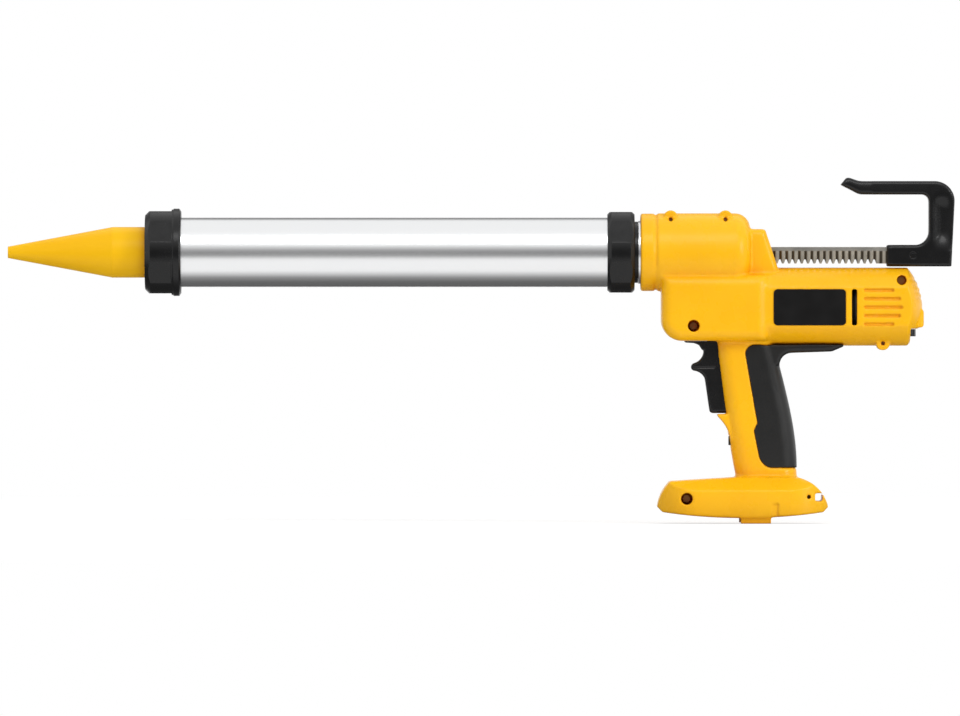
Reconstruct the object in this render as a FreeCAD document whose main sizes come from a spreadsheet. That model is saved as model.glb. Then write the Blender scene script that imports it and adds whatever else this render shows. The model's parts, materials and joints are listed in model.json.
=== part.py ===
import FreeCAD, Part
import Sketcher
import math
import os
import re
from fcgear import fcgear, involute

# Cordless caulking tool with a 600 ml barrel, a rack-driven piston and a pistol grip.
# Millimetres. The barrel lies along X with its nozzle at -X, the grip hangs down, and +Z is up.
# The origin is midway between the two tabs under the battery foot, on the plane they stand on.

doc = FreeCAD.newDocument("CaulkingTool")
sheet = doc.addObject("Spreadsheet::Sheet", "Sizes")

# Driving sizes: name, value, meaning
SIZES = [
    ("barrel_height", 203, "barrel axis above the foot's tabs"),
    ("tube_od", 52, "barrel tube outside diameter"),
    ("tube_wall", 1.5, "barrel tube wall"),
    ("tube_length", 352, "barrel tube length"),
    ("tube_rear", -96, "rear end of the barrel tube"),
    ("seat_gap", 0.1, "clearance of pieces seated in each other"),
    ("slide_gap", 0.3, "clearance of pieces that slide or turn past each other"),
    ("shaft_gap", 0.05, "radial clearance of a shaft in its bush"),
    ("press_gap", 0.02, "radial clearance of a piece pressed on a shaft"),
    ("nozzle_length", 112, "nozzle from flange to tip"),
    ("nozzle_cone", 78.5, "length of the nozzle's cone"),
    ("nozzle_base", 38, "diameter of the nozzle's base"),
    ("nozzle_tip", 8.6, "diameter of the nozzle's tip"),
    ("nozzle_outlet", 5, "diameter of the nozzle's outlet"),
    ("outlet_length", 8, "length of the straight outlet"),
    ("nozzle_wall", 2, "nozzle wall"),
    ("nozzle_flange", 46, "diameter of the nozzle's flange"),
    ("flange_thickness", 3, "thickness of the nozzle's flange"),
    ("cap_length", 27, "front cap length"),
    ("cap_od", 64.2, "front cap diameter over its lobes"),
    ("cap_rim", 65.6, "front cap diameter over its rear rim"),
    ("cap_rim_width", 5.5, "width of the front cap's rim"),
    ("cap_wall", 6, "front wall of the front cap"),
    ("cap_chamfer", 4.2, "chamfer round the front cap"),
    ("cap_rim_ease", 1.4, "length of the ease at the rim's rear edge"),
    ("collar_length", 20.4, "rear collar length"),
    ("collar_od", 63, "rear collar diameter over its lobes"),
    ("collar_chamfer", 3, "chamfer round the rear collar"),
    ("collar_neck", 46, "diameter of the collar's neck"),
    ("neck_length", 2.6, "length of the collar's neck"),
    ("lobe_depth", 1.3, "depth of the panels between the lobes"),
    ("panel_width", 18.5, "width of a panel between the lobes"),
    ("panel_margin", 1.6, "edge left beside a panel"),
    ("panel_count", 6, "panels round cap and collar"),
    ("spigot_show", 1.8, "bare metal between collar and nose"),
    ("spigot_od", 47.2, "diameter of the spigot in the nose"),
    ("spigot_sleeve", 38, "diameter of the spigot's front sleeve"),
    ("spigot_bore", 32, "bore of the spigot"),
    ("spigot_reach", 13.5, "spigot sleeve ahead of the nose"),
    ("spigot_flange", 52, "diameter of the flange trapped behind the nose"),
    ("spigot_flange_width", 3, "width of that flange"),
    ("clip_width", 1.2, "width of the retaining ring"),
    ("clip_od", 43, "outside diameter of the retaining ring"),
    ("clip_groove", 1, "depth of the retaining ring's groove"),
    ("rack_height", 12.4, "height of the rack bar"),
    ("rack_width", 11, "width of the rack bar"),
    ("rack_drop", 2.2, "rack centre below the barrel axis"),
    ("rack_module", 1.5, "module of the rack and its pinion"),
    ("rack_addendum", 1.2, "tooth height beyond the rack's pitch line"),
    ("rack_dedendum", 1.9, "tooth depth within the rack's pitch line"),
    ("rack_backlash", 0.3, "play of the rack teeth"),
    ("rack_plain", 2.9, "plain strip along the top of the rack's sides"),
    ("flute_depth", 0.7, "depth of the flutes on the rack's sides"),
    ("flute_width", 2.4, "width of the flutes on the rack's sides"),
    ("rack_toothless", 20, "rack left without teeth at its front end"),
    ("rod_forward", 80, "travel left ahead of the piston"),
    ("piston_end_gap", 1, "gap ahead of the piston at full travel"),
    ("piston_length", 12, "piston length"),
    ("piston_gap", 0.7, "radial gap round the piston"),
    ("seal_width", 5, "width of the piston seal"),
    ("seal_depth", 2.5, "depth of the seal's groove"),
    ("hub_od", 21, "diameter of the piston's hub"),
    ("hub_length", 12, "length of the piston's hub"),
    ("piston_bolt", 5, "piston bolt diameter"),
    ("piston_bolt_head", 10, "piston bolt head diameter"),
    ("bolt_head_height", 3, "piston bolt head height"),
    ("bolt_grip", 10, "length of the bolt in the rack"),
    ("sleeve_front", 98.3, "front of the pull handle's sleeve"),
    ("sleeve_depth", 38, "depth of the rack's socket in the sleeve"),
    ("handle_width", 17, "width of the pull handle"),
    ("post_front", 130, "front of the pull handle's post"),
    ("post_rear", 149.6, "rear of the pull handle's post"),
    ("post_taper", 2.4, "the post's foot ahead of its head"),
    ("arm_kink", 78, "where the arm starts to turn up"),
    ("tip_front", 64, "front of the arm's tip"),
    ("tip_back", 69, "rear of the arm's tip"),
    ("post_root", 10, "radius between sleeve and post"),
    ("post_corner", 5, "radius inside the arm's corner"),
    ("arm_corner", 15, "radius outside the arm's corner"),
    ("handle_round", 2.4, "rounding of the pull handle's edges"),
    ("handle_panel", 1.2, "depth of the panel in the post's sides"),
    ("handle_border", 4.8, "border left round that panel"),
    ("handle_pin_d", 4, "diameter of the pull handle's pin"),
    ("handle_pin_back", 20, "pull handle's pin behind the sleeve's front"),
    ("nose_front", -86, "front of the housing's nose"),
    ("nose_length", 10.5, "length of the nose ring"),
    ("nose_od", 58.2, "diameter of the nose ring"),
    ("nose_groove", 1, "depth of the groove behind the nose ring"),
    ("groove_width", 2.6, "width of the groove behind the nose ring"),
    ("upper_od", 58.6, "diameter of the upper housing"),
    ("upper_rear", -3.8, "rear end of the upper housing"),
    ("upper_round", 11.5, "radius of the upper housing's rear edge"),
    ("upper_dome", 11.4, "length of that rounded edge"),
    ("wall", 3, "housing wall"),
    ("guide_top", 17.4, "top of the rack guide above the barrel axis"),
    ("guide_rear", 7.4, "rear of the rack guide at its top"),
    ("guide_foot", 17.6, "rear of the rack guide at its foot"),
    ("guide_width", 30, "width of the rack guide"),
    ("guide_round", 5, "rounding of the rack guide"),
    ("bush_wall", 3, "wall of the rack bushes"),
    ("bush_length", 14, "length of the rear rack bush"),
    ("gear_front", -70.5, "front of the gear housing"),
    ("gear_rear", 9, "rear of the gear housing"),
    ("gear_width", 56, "width of the gear housing"),
    ("gear_nose", 16, "radius of the gear housing's lower front"),
    ("gear_round", 8, "rounding of the gear housing's edges"),
    ("motor_od", 58.6, "diameter of the motor housing"),
    ("motor_rear", 114, "where the motor housing's rear dome starts"),
    ("dome_depth", 11.4, "depth of the rear dome"),
    ("motor_width", 51.2, "width of the motor housing over its flats"),
    ("pad_rear", 126.4, "rear of the pad on the rear dome"),
    ("pad_width", 22, "width of that pad"),
    ("pad_round", 2.5, "rounding of that pad"),
    ("grip_top_front", -30.2, "front of the first section"),
    ("grip_top_rear", 12.8, "rear of the first section"),
    ("grip_top_width", 31, "width of the first section"),
    ("grip_upper_front", -25.5, "front of the second section"),
    ("grip_upper_rear", 21.6, "rear of the second section"),
    ("grip_upper_width", 32, "width of the second section"),
    ("grip_lower_front", -21.2, "front of the third section"),
    ("grip_lower_rear", 28.3, "rear of the third section"),
    ("grip_lower_width", 34, "width of the third section"),
    ("grip_base", 30, "height of the grip's last section"),
    ("grip_base_front", -13.4, "front of the last section"),
    ("grip_base_rear", 30.7, "rear of the last section"),
    ("grip_base_width", 33, "width of the last section"),
    ("grip_flat", 8, "flat stretch across the grip's front and back"),
    ("beak_front", -29.4, "front of the finger rest below the trigger"),
    ("beak_radius", 30, "hollow radius of the finger rest"),
    ("beak_width", 24, "width of the finger rest"),
    ("foot_front", -73.5, "front of the battery foot"),
    ("foot_rear", 54.5, "rear of the battery foot"),
    ("foot_end", 12.4, "height of the foot's two ends"),
    ("foot_low", 8.4, "height of the foot's lower corners"),
    ("foot_corner", 3.8, "length of the foot's lower corners"),
    ("foot_shoulder", 31.4, "top of the foot at its front"),
    ("foot_shoulder_back", 9.6, "that shoulder behind the foot's front"),
    ("foot_top", 34.6, "top of the foot beside the grip"),
    ("foot_front_round", 32, "radius of the foot's front"),
    ("foot_rear_round", 30, "radius of the foot's rear"),
    ("foot_belly", 420, "radius of the foot's underside"),
    ("foot_width", 74, "width of the foot"),
    ("foot_nose", 36, "width of the foot's two ends"),
    ("foot_taper", 28, "length over which the foot narrows"),
    ("foot_plan_round", 36, "radius of the foot's corners from above"),
    ("foot_edge", 24.6, "height where the foot's sides turn in"),
    ("foot_crown", 38, "width of the foot's top"),
    ("foot_round", 3, "rounding of the foot's edges"),
    ("foot_rim", 3.4, "rim round the underside of the foot"),
    ("foot_recess", 12.4, "depth of the recess under the foot"),
    ("tab_length", 22.6, "length of the tabs under the foot"),
    ("tab_thickness", 2.6, "thickness of those tabs"),
    ("tab_inset", 0.6, "those tabs inside the foot's sides"),
    ("socket_front", -10, "front of the battery post's socket"),
    ("socket_rear", 21, "rear of the battery post's socket"),
    ("socket_width", 21, "width of the battery post's socket"),
    ("socket_top", 50, "top of the battery post's socket"),
    ("terminal_height", 8, "height of the terminal block"),
    ("blade_width", 12, "width of a contact blade"),
    ("blade_thickness", 1, "thickness of a contact blade"),
    ("blade_drop", 20, "contact blade below the terminal block"),
    ("blade_pitch", 7, "pitch of the contact blades"),
    ("cover_depth", 2, "thickness of the grip cover"),
    ("cover_seam", 0.3, "seam round the grip cover"),
    ("cover_head_front", -7.4, "front of the grip cover at its head"),
    ("cover_head_round", 7, "radius of the grip cover's head"),
    ("cover_waist_front", 1.6, "front of the grip cover at its waist"),
    ("cover_notch_front", -1, "front of the grip cover below its waist"),
    ("cover_heel_front", 2.6, "front of the grip cover's heel"),
    ("cover_heel_round", 12, "radius of the heel"),
    ("cover_base_front", 11.2, "front of the grip cover's lower edge"),
    ("web_front", 18.3, "where grip and tail start to join"),
    ("tail_end", 66.4, "rear end of the grip cover's tail"),
    ("tail_width", 26, "width of the tail"),
    ("web_radius", 9, "radius between grip and tail"),
    ("tail_round", 3, "rounding of the tail"),
    ("tail_rise", 1, "rise of the tail's underside towards its end"),
    ("label_front", 13.5, "front of the bare plate"),
    ("label_length", 54, "length of the bare plate"),
    ("label_height", 27, "height of the bare plate"),
    ("label_corner", 3, "corner radius of the bare plate"),
    ("label_thickness", 1, "thickness of the bare plate"),
    ("label_proud", 0.2, "the plate above the housing's side"),
    ("slot_front", 72, "front of the cooling slot"),
    ("slot_length", 3.8, "length of the cooling slot along the barrel"),
    ("louvre_front", 81, "front of the louvres"),
    ("louvre_long", 29, "length of the middle louvre"),
    ("louvre_step", 1.6, "how much the louvres shorten outward"),
    ("louvre_height", 2.4, "height of a louvre"),
    ("louvre_pitch", 6.35, "pitch of the louvres"),
    ("louvre_depth", 1.8, "depth of a louvre"),
    ("vent_drop", 0.6, "louvres, slot and plate below the motor axis"),
    ("boss_od", 10.4, "diameter of the screw bosses"),
    ("boss_lift", 1.8, "top bosses drawn up beyond their screws"),
    ("boss_width", 27, "width of the top and bottom screw bosses"),
    ("screw_d", 3, "diameter of the housing screws"),
    ("screw_head", 5.6, "diameter of their heads"),
    ("screw_head_height", 2.2, "height of their heads"),
    ("screw_length", 16, "length of the housing screws"),
    ("screw_bury", 8, "screw shank beyond the parting plane"),
    ("post_od", 11.4, "diameter of the inner screw posts"),
    ("bore_large", 8.8, "diameter of the front screw recesses"),
    ("bore_small", 7.2, "diameter of the rear screw recess"),
    ("screw_a_x", -63.4, "front top screw"),
    ("screw_b_x", -22.4, "rear top screw"),
    ("screw_c_x", -46.4, "gear housing screw"),
    ("screw_d_x", 109.4, "rear screw"),
    ("screw_e_x", 95.6, "bottom screw"),
    ("screw_f_x", -51.6, "front foot screw"),
    ("screw_f_z", 18.4, "front foot screw height"),
    ("screw_g_x", 39.6, "rear foot screw"),
    ("screw_g_z", 19.9, "rear foot screw height"),
    ("strap_front", 44.4, "front of the strap hole"),
    ("strap_length", 5.6, "length of the strap hole"),
    ("strap_bottom", 16.6, "bottom of the strap hole"),
    ("strap_height", 6, "height of the strap hole"),
    ("pinion_teeth", 14, "teeth of the rack pinion"),
    ("pinion_x", -38, "rack pinion along the barrel"),
    ("pinion_width", 10, "width of the rack pinion"),
    ("pinion_shaft_d", 8, "diameter of the pinion shaft"),
    ("pinion_shaft_length", 36, "length of the pinion shaft"),
    ("bearing_wall", 2.5, "wall of the shaft bushes"),
    ("bearing_width", 4, "width of the shaft bushes"),
    ("boss_wall", 2.2, "wall of the bearing bosses"),
    ("clutch_width", 2.4, "width of the clutch plate"),
    ("clutch_od", 18, "diameter of the clutch plate"),
    ("clutch_gap", 1, "clutch plate to clutch gear when released"),
    ("spur_module", 1, "module of the spur pair"),
    ("clutch_teeth", 32, "teeth of the clutch gear"),
    ("lay_teeth", 18, "teeth of the layshaft pinion"),
    ("spur_width", 5, "width of the spur pair"),
    ("train_lean", 23, "lean of the spur pair from vertical, degrees"),
    ("lay_shaft_d", 6, "diameter of the layshaft"),
    ("lay_shaft_length", 46, "length of the layshaft"),
    ("bevel_module", 1.25, "module of the bevel pair"),
    ("bevel_pinion_teeth", 15, "teeth of the bevel pinion"),
    ("bevel_gear_teeth", 24, "teeth of the bevel gear"),
    ("bevel_face", 6, "face width of the bevel pair"),
    ("bevel_addendum", 1, "tooth height of the bevel pair"),
    ("bevel_dedendum", 1.5, "tooth depth of the bevel pair"),
    ("bevel_backlash", 0.5, "play of the bevel teeth"),
    ("bevel_hub", 2.4, "hub behind the bevel teeth"),
    ("stage_offset", 18.6, "gear cover behind the layshaft"),
    ("gear_case_od", 42.6, "diameter of gear cover, ring gear and motor"),
    ("cover_thickness", 5, "thickness of the gear cover"),
    ("planet_module", 1, "module of the planetary stage"),
    ("sun_teeth", 12, "teeth of the sun gear"),
    ("planet_teeth", 12, "teeth of a planet gear"),
    ("planet_count", 3, "planet gears"),
    ("planet_width", 5.5, "width of sun and planet gears"),
    ("planet_pin", 4, "diameter of a planet's pin"),
    ("carrier_plate", 3, "thickness of the planet carrier"),
    ("carrier_shaft_d", 9, "diameter of the carrier's shaft in its bush"),
    ("carrier_nose_d", 7, "diameter of the carrier's nose in the bevel pinion"),
    ("ring_width", 11, "width of the ring gear"),
    ("tooth_thinning", 0.12, "profile shift that gives the gears their play"),
    ("pressure_angle", 20, "pressure angle of all gears, degrees"),
    ("tooth_addendum", 0.8, "tooth height beyond the pitch circle, in modules"),
    ("bevel_overcut", 1.5, "reach of the bevel cutter past the tooth, as a factor"),
    ("can_length", 54, "length of the motor can"),
    ("can_wall", 2, "wall of the motor can"),
    ("magnet_thickness", 4.6, "thickness of the motor magnets"),
    ("magnet_length", 36, "length of the motor magnets"),
    ("magnet_start", 10, "magnets behind the motor's front"),
    ("magnet_gap", 12, "gap between the two magnets"),
    ("core_od", 28, "diameter of the armature core"),
    ("core_slots", 8, "slots round the armature core"),
    ("core_slot_width", 2, "width of an armature slot"),
    ("core_slot_depth", 6, "depth of an armature slot"),
    ("commutator_od", 14, "diameter of the commutator"),
    ("commutator_start", 50, "commutator behind the motor's front"),
    ("commutator_length", 10, "length of the commutator"),
    ("motor_shaft_d", 5, "diameter of the motor shaft"),
    ("motor_bush_od", 12, "diameter of the motor bushes"),
    ("motor_bush_length", 4, "length of the motor bushes"),
    ("end_bell_length", 14, "length of the motor's end bell"),
    ("brush_bore", 19, "bore of the end bell round the commutator"),
    ("brush_width", 5, "width of a brush"),
    ("brush_length", 8, "length of a brush"),
    ("fan_gap", 3, "fan behind the end bell"),
    ("fan_od", 38, "diameter of the fan"),
    ("fan_hub", 12, "diameter of the fan's hub"),
    ("fan_length", 8, "length of the fan"),
    ("fan_plate", 1.6, "thickness of the fan's plate"),
    ("fan_blades", 9, "blades of the fan"),
    ("rib_width", 4, "width of the ribs that hold the motor"),
    ("rib_front", 14, "front motor rib behind the motor's front"),
    ("rib_rear", 44, "rear motor rib behind the motor's front"),
    ("dial_x", 105, "axis of the speed dial"),
    ("dial_drop", 19.6, "speed dial below the motor axis"),
    ("dial_od", 31, "diameter of the speed dial"),
    ("dial_show", 4.4, "speed dial outside the housing"),
    ("dial_height", 5.4, "height of the speed dial"),
    ("dial_notches", 24, "notches round the speed dial"),
    ("dial_notch", 1.6, "diameter of a notch"),
    ("spindle_d", 6, "diameter of the speed control's spindle"),
    ("control_od", 16, "diameter of the speed control"),
    ("control_height", 7, "height of the speed control"),
    ("trigger_width", 14, "width of the trigger"),
    ("trigger_round", 1.6, "rounding of the trigger's edges"),
    ("trigger_toe_round", 2.4, "radius of the trigger's toe"),
    ("trigger_pivot_x", -31, "trigger pivot"),
    ("trigger_pin_d", 4, "diameter of the trigger's pin"),
    ("trigger_pin_length", 24, "length of the trigger's pin"),
    ("trigger_ear", 4, "radius of the trigger's ear"),
    ("trigger_brow", -41.8, "front of the trigger's brow"),
    ("trigger_hook", -46, "front of the trigger's hook"),
    ("trigger_lower", -37.8, "front of the trigger below its hook"),
    ("trigger_toe", -34.4, "front of the trigger's toe"),
    ("trigger_heel", -18, "rear of the trigger's bottom"),
    ("trigger_back", -24.4, "rear of the trigger at the housing"),
    ("trigger_swing", 7, "swing of the trigger, degrees"),
    ("switch_front", -7, "front of the switch"),
    ("switch_length", 17, "length of the switch"),
    ("switch_width", 18, "width of the switch"),
    ("plunger_d", 5, "diameter of the switch plunger"),
    ("plunger_inside", 4, "plunger inside the switch at rest"),
    ("plunger_bore", 10, "depth of the plunger's bore in the switch"),
    ("rib_thickness", 3, "thickness of the ribs in the grip"),
    ("lock_front", -20.6, "front of the lock slider"),
    ("lock_height", 7, "height of the lock slider"),
    ("lock_width", 10, "width of the lock slider"),
    ("lock_travel", 3, "travel of the lock slider"),
    ("lock_flange", 1.6, "thickness of the lock slider's flange"),
    ("lock_overhang", 3.8, "lock slider's flange beyond its sides"),
    ("lock_depth", 5, "lock slider from its front to its flange"),
]

# Heights above the barrel axis
FROM_BARREL = [
    ("sleeve_bottom", -10.6, "underside of the pull handle's sleeve"),
    ("sleeve_top", 5.6, "top of the pull handle's sleeve"),
    ("arm_top", 53.4, "top of the pull handle's arm"),
    ("arm_bottom", 43.3, "underside of the pull handle's arm"),
    ("tip_bottom", 50.6, "lower edge of the arm's tip"),
    ("tip_top", 56.6, "upper edge of the arm's tip"),
    ("gear_top", -17, "top of the gear housing"),
    ("screw_a_z", 24.4, "front top screw height"),
    ("screw_b_z", 24.4, "rear top screw height"),
]

# Heights above the motor axis
FROM_MOTOR = [
    ("gear_bottom", -25.7, "underside of the gear housing"),
    ("pad_top", -1.8, "top of the pad on the rear dome"),
    ("pad_bottom", -15.7, "underside of the pad on the rear dome"),
    ("grip_top", -21.3, "height of the grip's first section"),
    ("cover_top", -28.5, "top edge of the grip cover"),
    ("tail_bottom", -34.7, "underside of the grip cover's tail"),
    ("tail_tip", -29.9, "height of the tail's tip"),
    ("screw_c_z", -14.5, "gear housing screw height"),
    ("screw_d_z", 19.7, "rear screw height"),
    ("screw_e_z", -27.5, "bottom screw height"),
    ("trigger_pivot_z", -21.3, "trigger pivot height"),
    ("trigger_brow_top", -26.2, "top of the trigger's brow"),
]

# Heights above the foot's top, as a share of the grip's length up to the gear housing
UP_THE_GRIP = [
    ("grip_upper", 0.6903, "height of the grip's second section"),
    ("grip_lower", 0.3863, "height of the grip's third section"),
    ("beak_top", 0.455, "top of the finger rest"),
    ("beak_foot", 0.2687, "foot of the finger rest"),
    ("cover_waist", 0.3961, "height of the grip cover's waist"),
    ("cover_notch", 0.3422, "height of the notch below that waist"),
    ("cover_heel", 0.1647, "height of the grip cover's heel"),
    ("cover_base", 0.0686, "lower edge of the grip cover"),
    ("trigger_hook_top", 0.8364, "top of the trigger's hook"),
    ("trigger_hook_foot", 0.7805, "foot of the trigger's hook"),
    ("trigger_lower_top", 0.7236, "top of the trigger's lower part"),
    ("trigger_bottom", 0.4687, "bottom of the trigger"),
    ("switch_bottom", 0.5236, "bottom of the switch"),
    ("plunger_z", 0.7197, "height of the switch plunger"),
    ("lock_z", 0.2667, "height of the lock slider"),
]

# Lengths as a share of the grip's length
OF_THE_GRIP = [
    ("trigger_hollow", 0.0931, "radius of the trigger's upper hollow"),
    ("trigger_hook_round", 0.0294, "radius of the trigger's hook"),
    ("switch_height", 0.3138, "height of the switch"),
]

# Axes of rack, pinion and motor, one under the other
RACK_Z = "(barrel_height - rack_drop)"
RACK_TIP = f"({RACK_Z} - rack_height / 2)"
PINION_R = "(rack_module * pinion_teeth / 2)"
PINION_Z = f"({RACK_TIP} + rack_addendum - {PINION_R})"
SPUR_DISTANCE = "(spur_module * (clutch_teeth + lay_teeth) / 2)"
MOTOR_Z = f"({PINION_Z} - {SPUR_DISTANCE} * cos(train_lean))"
GRIP_LENGTH = "(gear_bottom - foot_top)"

rows = [(name, str(size), meaning) for name, size, meaning in SIZES]
rows += [(name, f"=barrel_height + ({size})", meaning) for name, size, meaning in FROM_BARREL]
rows += [(name, f"={MOTOR_Z} + ({size})", meaning) for name, size, meaning in FROM_MOTOR]
rows += [(name, f"=foot_top + {GRIP_LENGTH} * {size}", meaning) for name, size, meaning in UP_THE_GRIP]
rows += [(name, f"={GRIP_LENGTH} * {size}", meaning) for name, size, meaning in OF_THE_GRIP]
NAMES = {name for name, cell, meaning in rows}
for row, (name, cell, meaning) in enumerate(rows, start=1):
    sheet.set(f"A{row}", meaning)
    sheet.set(f"B{row}", cell)
    sheet.setAlias(f"B{row}", name)
doc.recompute()

# Places worked out from the driving sizes
TUBE_FRONT = "(tube_rear - tube_length)"
TUBE_R = "(tube_od / 2)"
BORE_R = "(tube_od / 2 - tube_wall)"
FLANGE_BACK = f"({TUBE_FRONT} - slide_gap)"
CAP_FRONT = f"({FLANGE_BACK} - flange_thickness - cap_wall)"
CAP_BACK = f"({CAP_FRONT} + cap_length)"
NECK_END = "(nose_front - spigot_show)"
COLLAR_BACK = f"({NECK_END} - neck_length)"
COLLAR_FRONT = f"({COLLAR_BACK} - collar_length)"
SPIGOT_FRONT = "(nose_front - spigot_reach)"
NOSE_BACK = "(nose_front + nose_length)"
UPPER_START = f"({NOSE_BACK} + groove_width)"
SPIGOT_SEAT = f"({UPPER_START} + wall)"
PISTON_FRONT = f"({TUBE_FRONT} + rod_forward + piston_end_gap)"
HUB_BACK = f"({PISTON_FRONT} + piston_length + hub_length)"
RACK_FRONT = f"({PISTON_FRONT} + piston_length)"
RACK_BACK = "(sleeve_front + sleeve_depth)"
LAY_X = f"(pinion_x + {SPUR_DISTANCE} * sin(train_lean))"
COVER_FRONT = f"({LAY_X} + stage_offset)"
RING_FRONT = f"({COVER_FRONT} + cover_thickness)"
MOTOR_FRONT = f"({RING_FRONT} + ring_width)"
BELL_FRONT = f"({MOTOR_FRONT} + can_length)"
BELL_BACK = f"({BELL_FRONT} + end_bell_length)"
FAN_FRONT = f"({BELL_BACK} + fan_gap)"
FAN_BACK = f"({FAN_FRONT} + fan_length)"
CASE_R = "(gear_case_od / 2)"
CAN_R = f"({CASE_R} - can_wall)"
SPUR_Y = "(pinion_width / 2 + clutch_width + clutch_gap)"
PLANET_ORBIT = "(planet_module * (sun_teeth + planet_teeth) / 2)"
PLANET_FRONT = f"({RING_FRONT} + slide_gap + carrier_plate + slide_gap)"
SUN_BACK = f"({PLANET_FRONT} + planet_width)"
VENT_Z = f"({MOTOR_Z} - vent_drop)"
DIAL_Z = f"({MOTOR_Z} - dial_drop)"
CONTROL_BOTTOM = f"({DIAL_Z} + dial_height / 2 + slide_gap)"
DIAL_NOTCH = "(dial_x + dial_od / 2 - dial_show)"
TERMINAL_TOP = "(socket_top + terminal_height)"
FLAT_Y = "(motor_width / 2)"
PINION_BUSH_R = "(pinion_shaft_d / 2 + bearing_wall)"
LAY_BUSH_R = "(lay_shaft_d / 2 + bearing_wall)"

ALONG_X = FreeCAD.Rotation(FreeCAD.Vector(0, 1, 0), 90)
ALONG_Y = FreeCAD.Rotation(FreeCAD.Vector(1, 0, 0), -90)
UPRIGHT = FreeCAD.Rotation()

nodes = []


def number(text):
    """The value of a size or of a sum of sizes."""
    return float(sheet.evalExpression(text))


def bound(text):
    """The same sum, written so that another object can be bound to it."""
    return re.sub(r"[a-z_]+", lambda word: "Sizes." + word[0] if word[0] in NAMES else word[0], text)


def place(thing, x="0", y="0", z="0", turn=UPRIGHT):
    thing.Placement = FreeCAD.Placement(FreeCAD.Vector(), turn)
    for axis, text in zip("xyz", (x, y, z)):
        thing.setExpression(f"Placement.Base.{axis}", bound(text))
    return thing


def keep(thing, label):
    """Name a finished sub-part and put it on the list of pieces."""
    thing.Label = label
    nodes.append(thing)
    return thing


# Part primitives and booleans

def box(x, y, z):
    """A box between two places along each axis."""
    made = doc.addObject("Part::Box", "Box")
    for side, (low, high) in zip(("Length", "Width", "Height"), (x, y, z)):
        made.setExpression(side, bound(f"{high} - ({low})"))
    return place(made, x[0], y[0], z[0])


def rod(radius, start, end, axis, x="0", y="0", z="0"):
    """A round bar along X, Y or Z from start to end, through the other two places."""
    made = doc.addObject("Part::Cylinder", "Rod")
    made.setExpression("Radius", bound(radius))
    made.setExpression("Height", bound(f"{end} - ({start})"))
    if axis == "x":
        return place(made, start, y, z, ALONG_X)
    if axis == "y":
        return place(made, x, start, z, ALONG_Y)
    return place(made, x, y, start)


def fuse(*shapes):
    if len(shapes) == 1:
        return shapes[0]
    made = doc.addObject("Part::MultiFuse", "Fuse")
    made.Shapes = list(shapes)
    return made


def cut(base, *tools):
    made = doc.addObject("Part::Cut", "Cut")
    made.Base = base
    made.Tool = fuse(*tools)
    return made


def common(base, tool):
    made = doc.addObject("Part::Common", "Common")
    made.Base = base
    made.Tool = tool
    return made


def group(*shapes):
    made = doc.addObject("Part::Compound", "Group")
    made.Links = list(shapes)
    return made


# PartDesign bodies

def new_body(x="0", y="0", z="0", turn=UPRIGHT):
    return place(doc.addObject("PartDesign::Body", "Body"), x, y, z, turn)


def origin(body, role):
    return [feature for feature in body.Origin.OriginFeatures if feature.Role == role][0]


def arc_between(start, end, radius, way):
    """An arc of under half a turn between two points, as a sketch draws it: anticlockwise."""
    if way == "clockwise":
        start, end = end, start
    chord = end - start
    rise = math.sqrt(max(radius ** 2 - (chord.Length / 2) ** 2, 0))
    across = FreeCAD.Vector(-chord.y, chord.x, 0).normalize()
    centre = (start + end) * 0.5 + across * rise
    first = math.atan2(start.y - centre.y, start.x - centre.x)
    last = math.atan2(end.y - centre.y, end.x - centre.x)
    circle = Part.Circle(centre, FreeCAD.Vector(0, 0, 1), radius)
    return Part.ArcOfCircle(circle, first, last if last > first else last + 2 * math.pi)


def draw(sketch, corners):
    """Draw and dimension a closed outline. A corner with a radius and a way is reached by an arc."""
    points = [FreeCAD.Vector(number(corner[0]), number(corner[1]), 0) for corner in corners]
    joins = []
    rules = []
    for index, start in enumerate(points):
        following = (index + 1) % len(points)
        target = corners[following]
        if len(target) == 2:
            edge = sketch.addGeometry(Part.LineSegment(start, points[following]), False)
            joins.append((edge, 1, 2))
            continue
        radius, way = target[2:]
        edge = sketch.addGeometry(arc_between(start, points[following], number(radius), way), False)
        joins.append((edge, 2, 1) if way == "clockwise" else (edge, 1, 2))
        rules.append((Sketcher.Constraint("Radius", edge, number(radius)), radius))
    for index, (edge, first, last) in enumerate(joins):
        following = joins[(index + 1) % len(joins)]
        sketch.addConstraint(Sketcher.Constraint("Coincident", edge, last, following[0], following[1]))
        for kind, text, value in zip(("DistanceX", "DistanceY"), corners[index], points[index]):
            rules.append((Sketcher.Constraint(kind, -1, 1, edge, first, value), text))
    for rule, text in rules:
        place_of_rule = sketch.addConstraint(rule)
        sketch.setExpression(f"Constraints[{place_of_rule}]", bound(text))
    return sketch


def outline(body, plane, corners, offset="0"):
    """A closed outline on one of the body's own planes, or at an offset from it."""
    made = body.newObject("Sketcher::SketchObject", "Outline")
    made.AttachmentSupport = [(origin(body, plane), "")]
    made.MapMode = "FlatFace"
    made.setExpression("AttachmentOffset.Base.z", bound(offset))
    return draw(made, corners)


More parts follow.
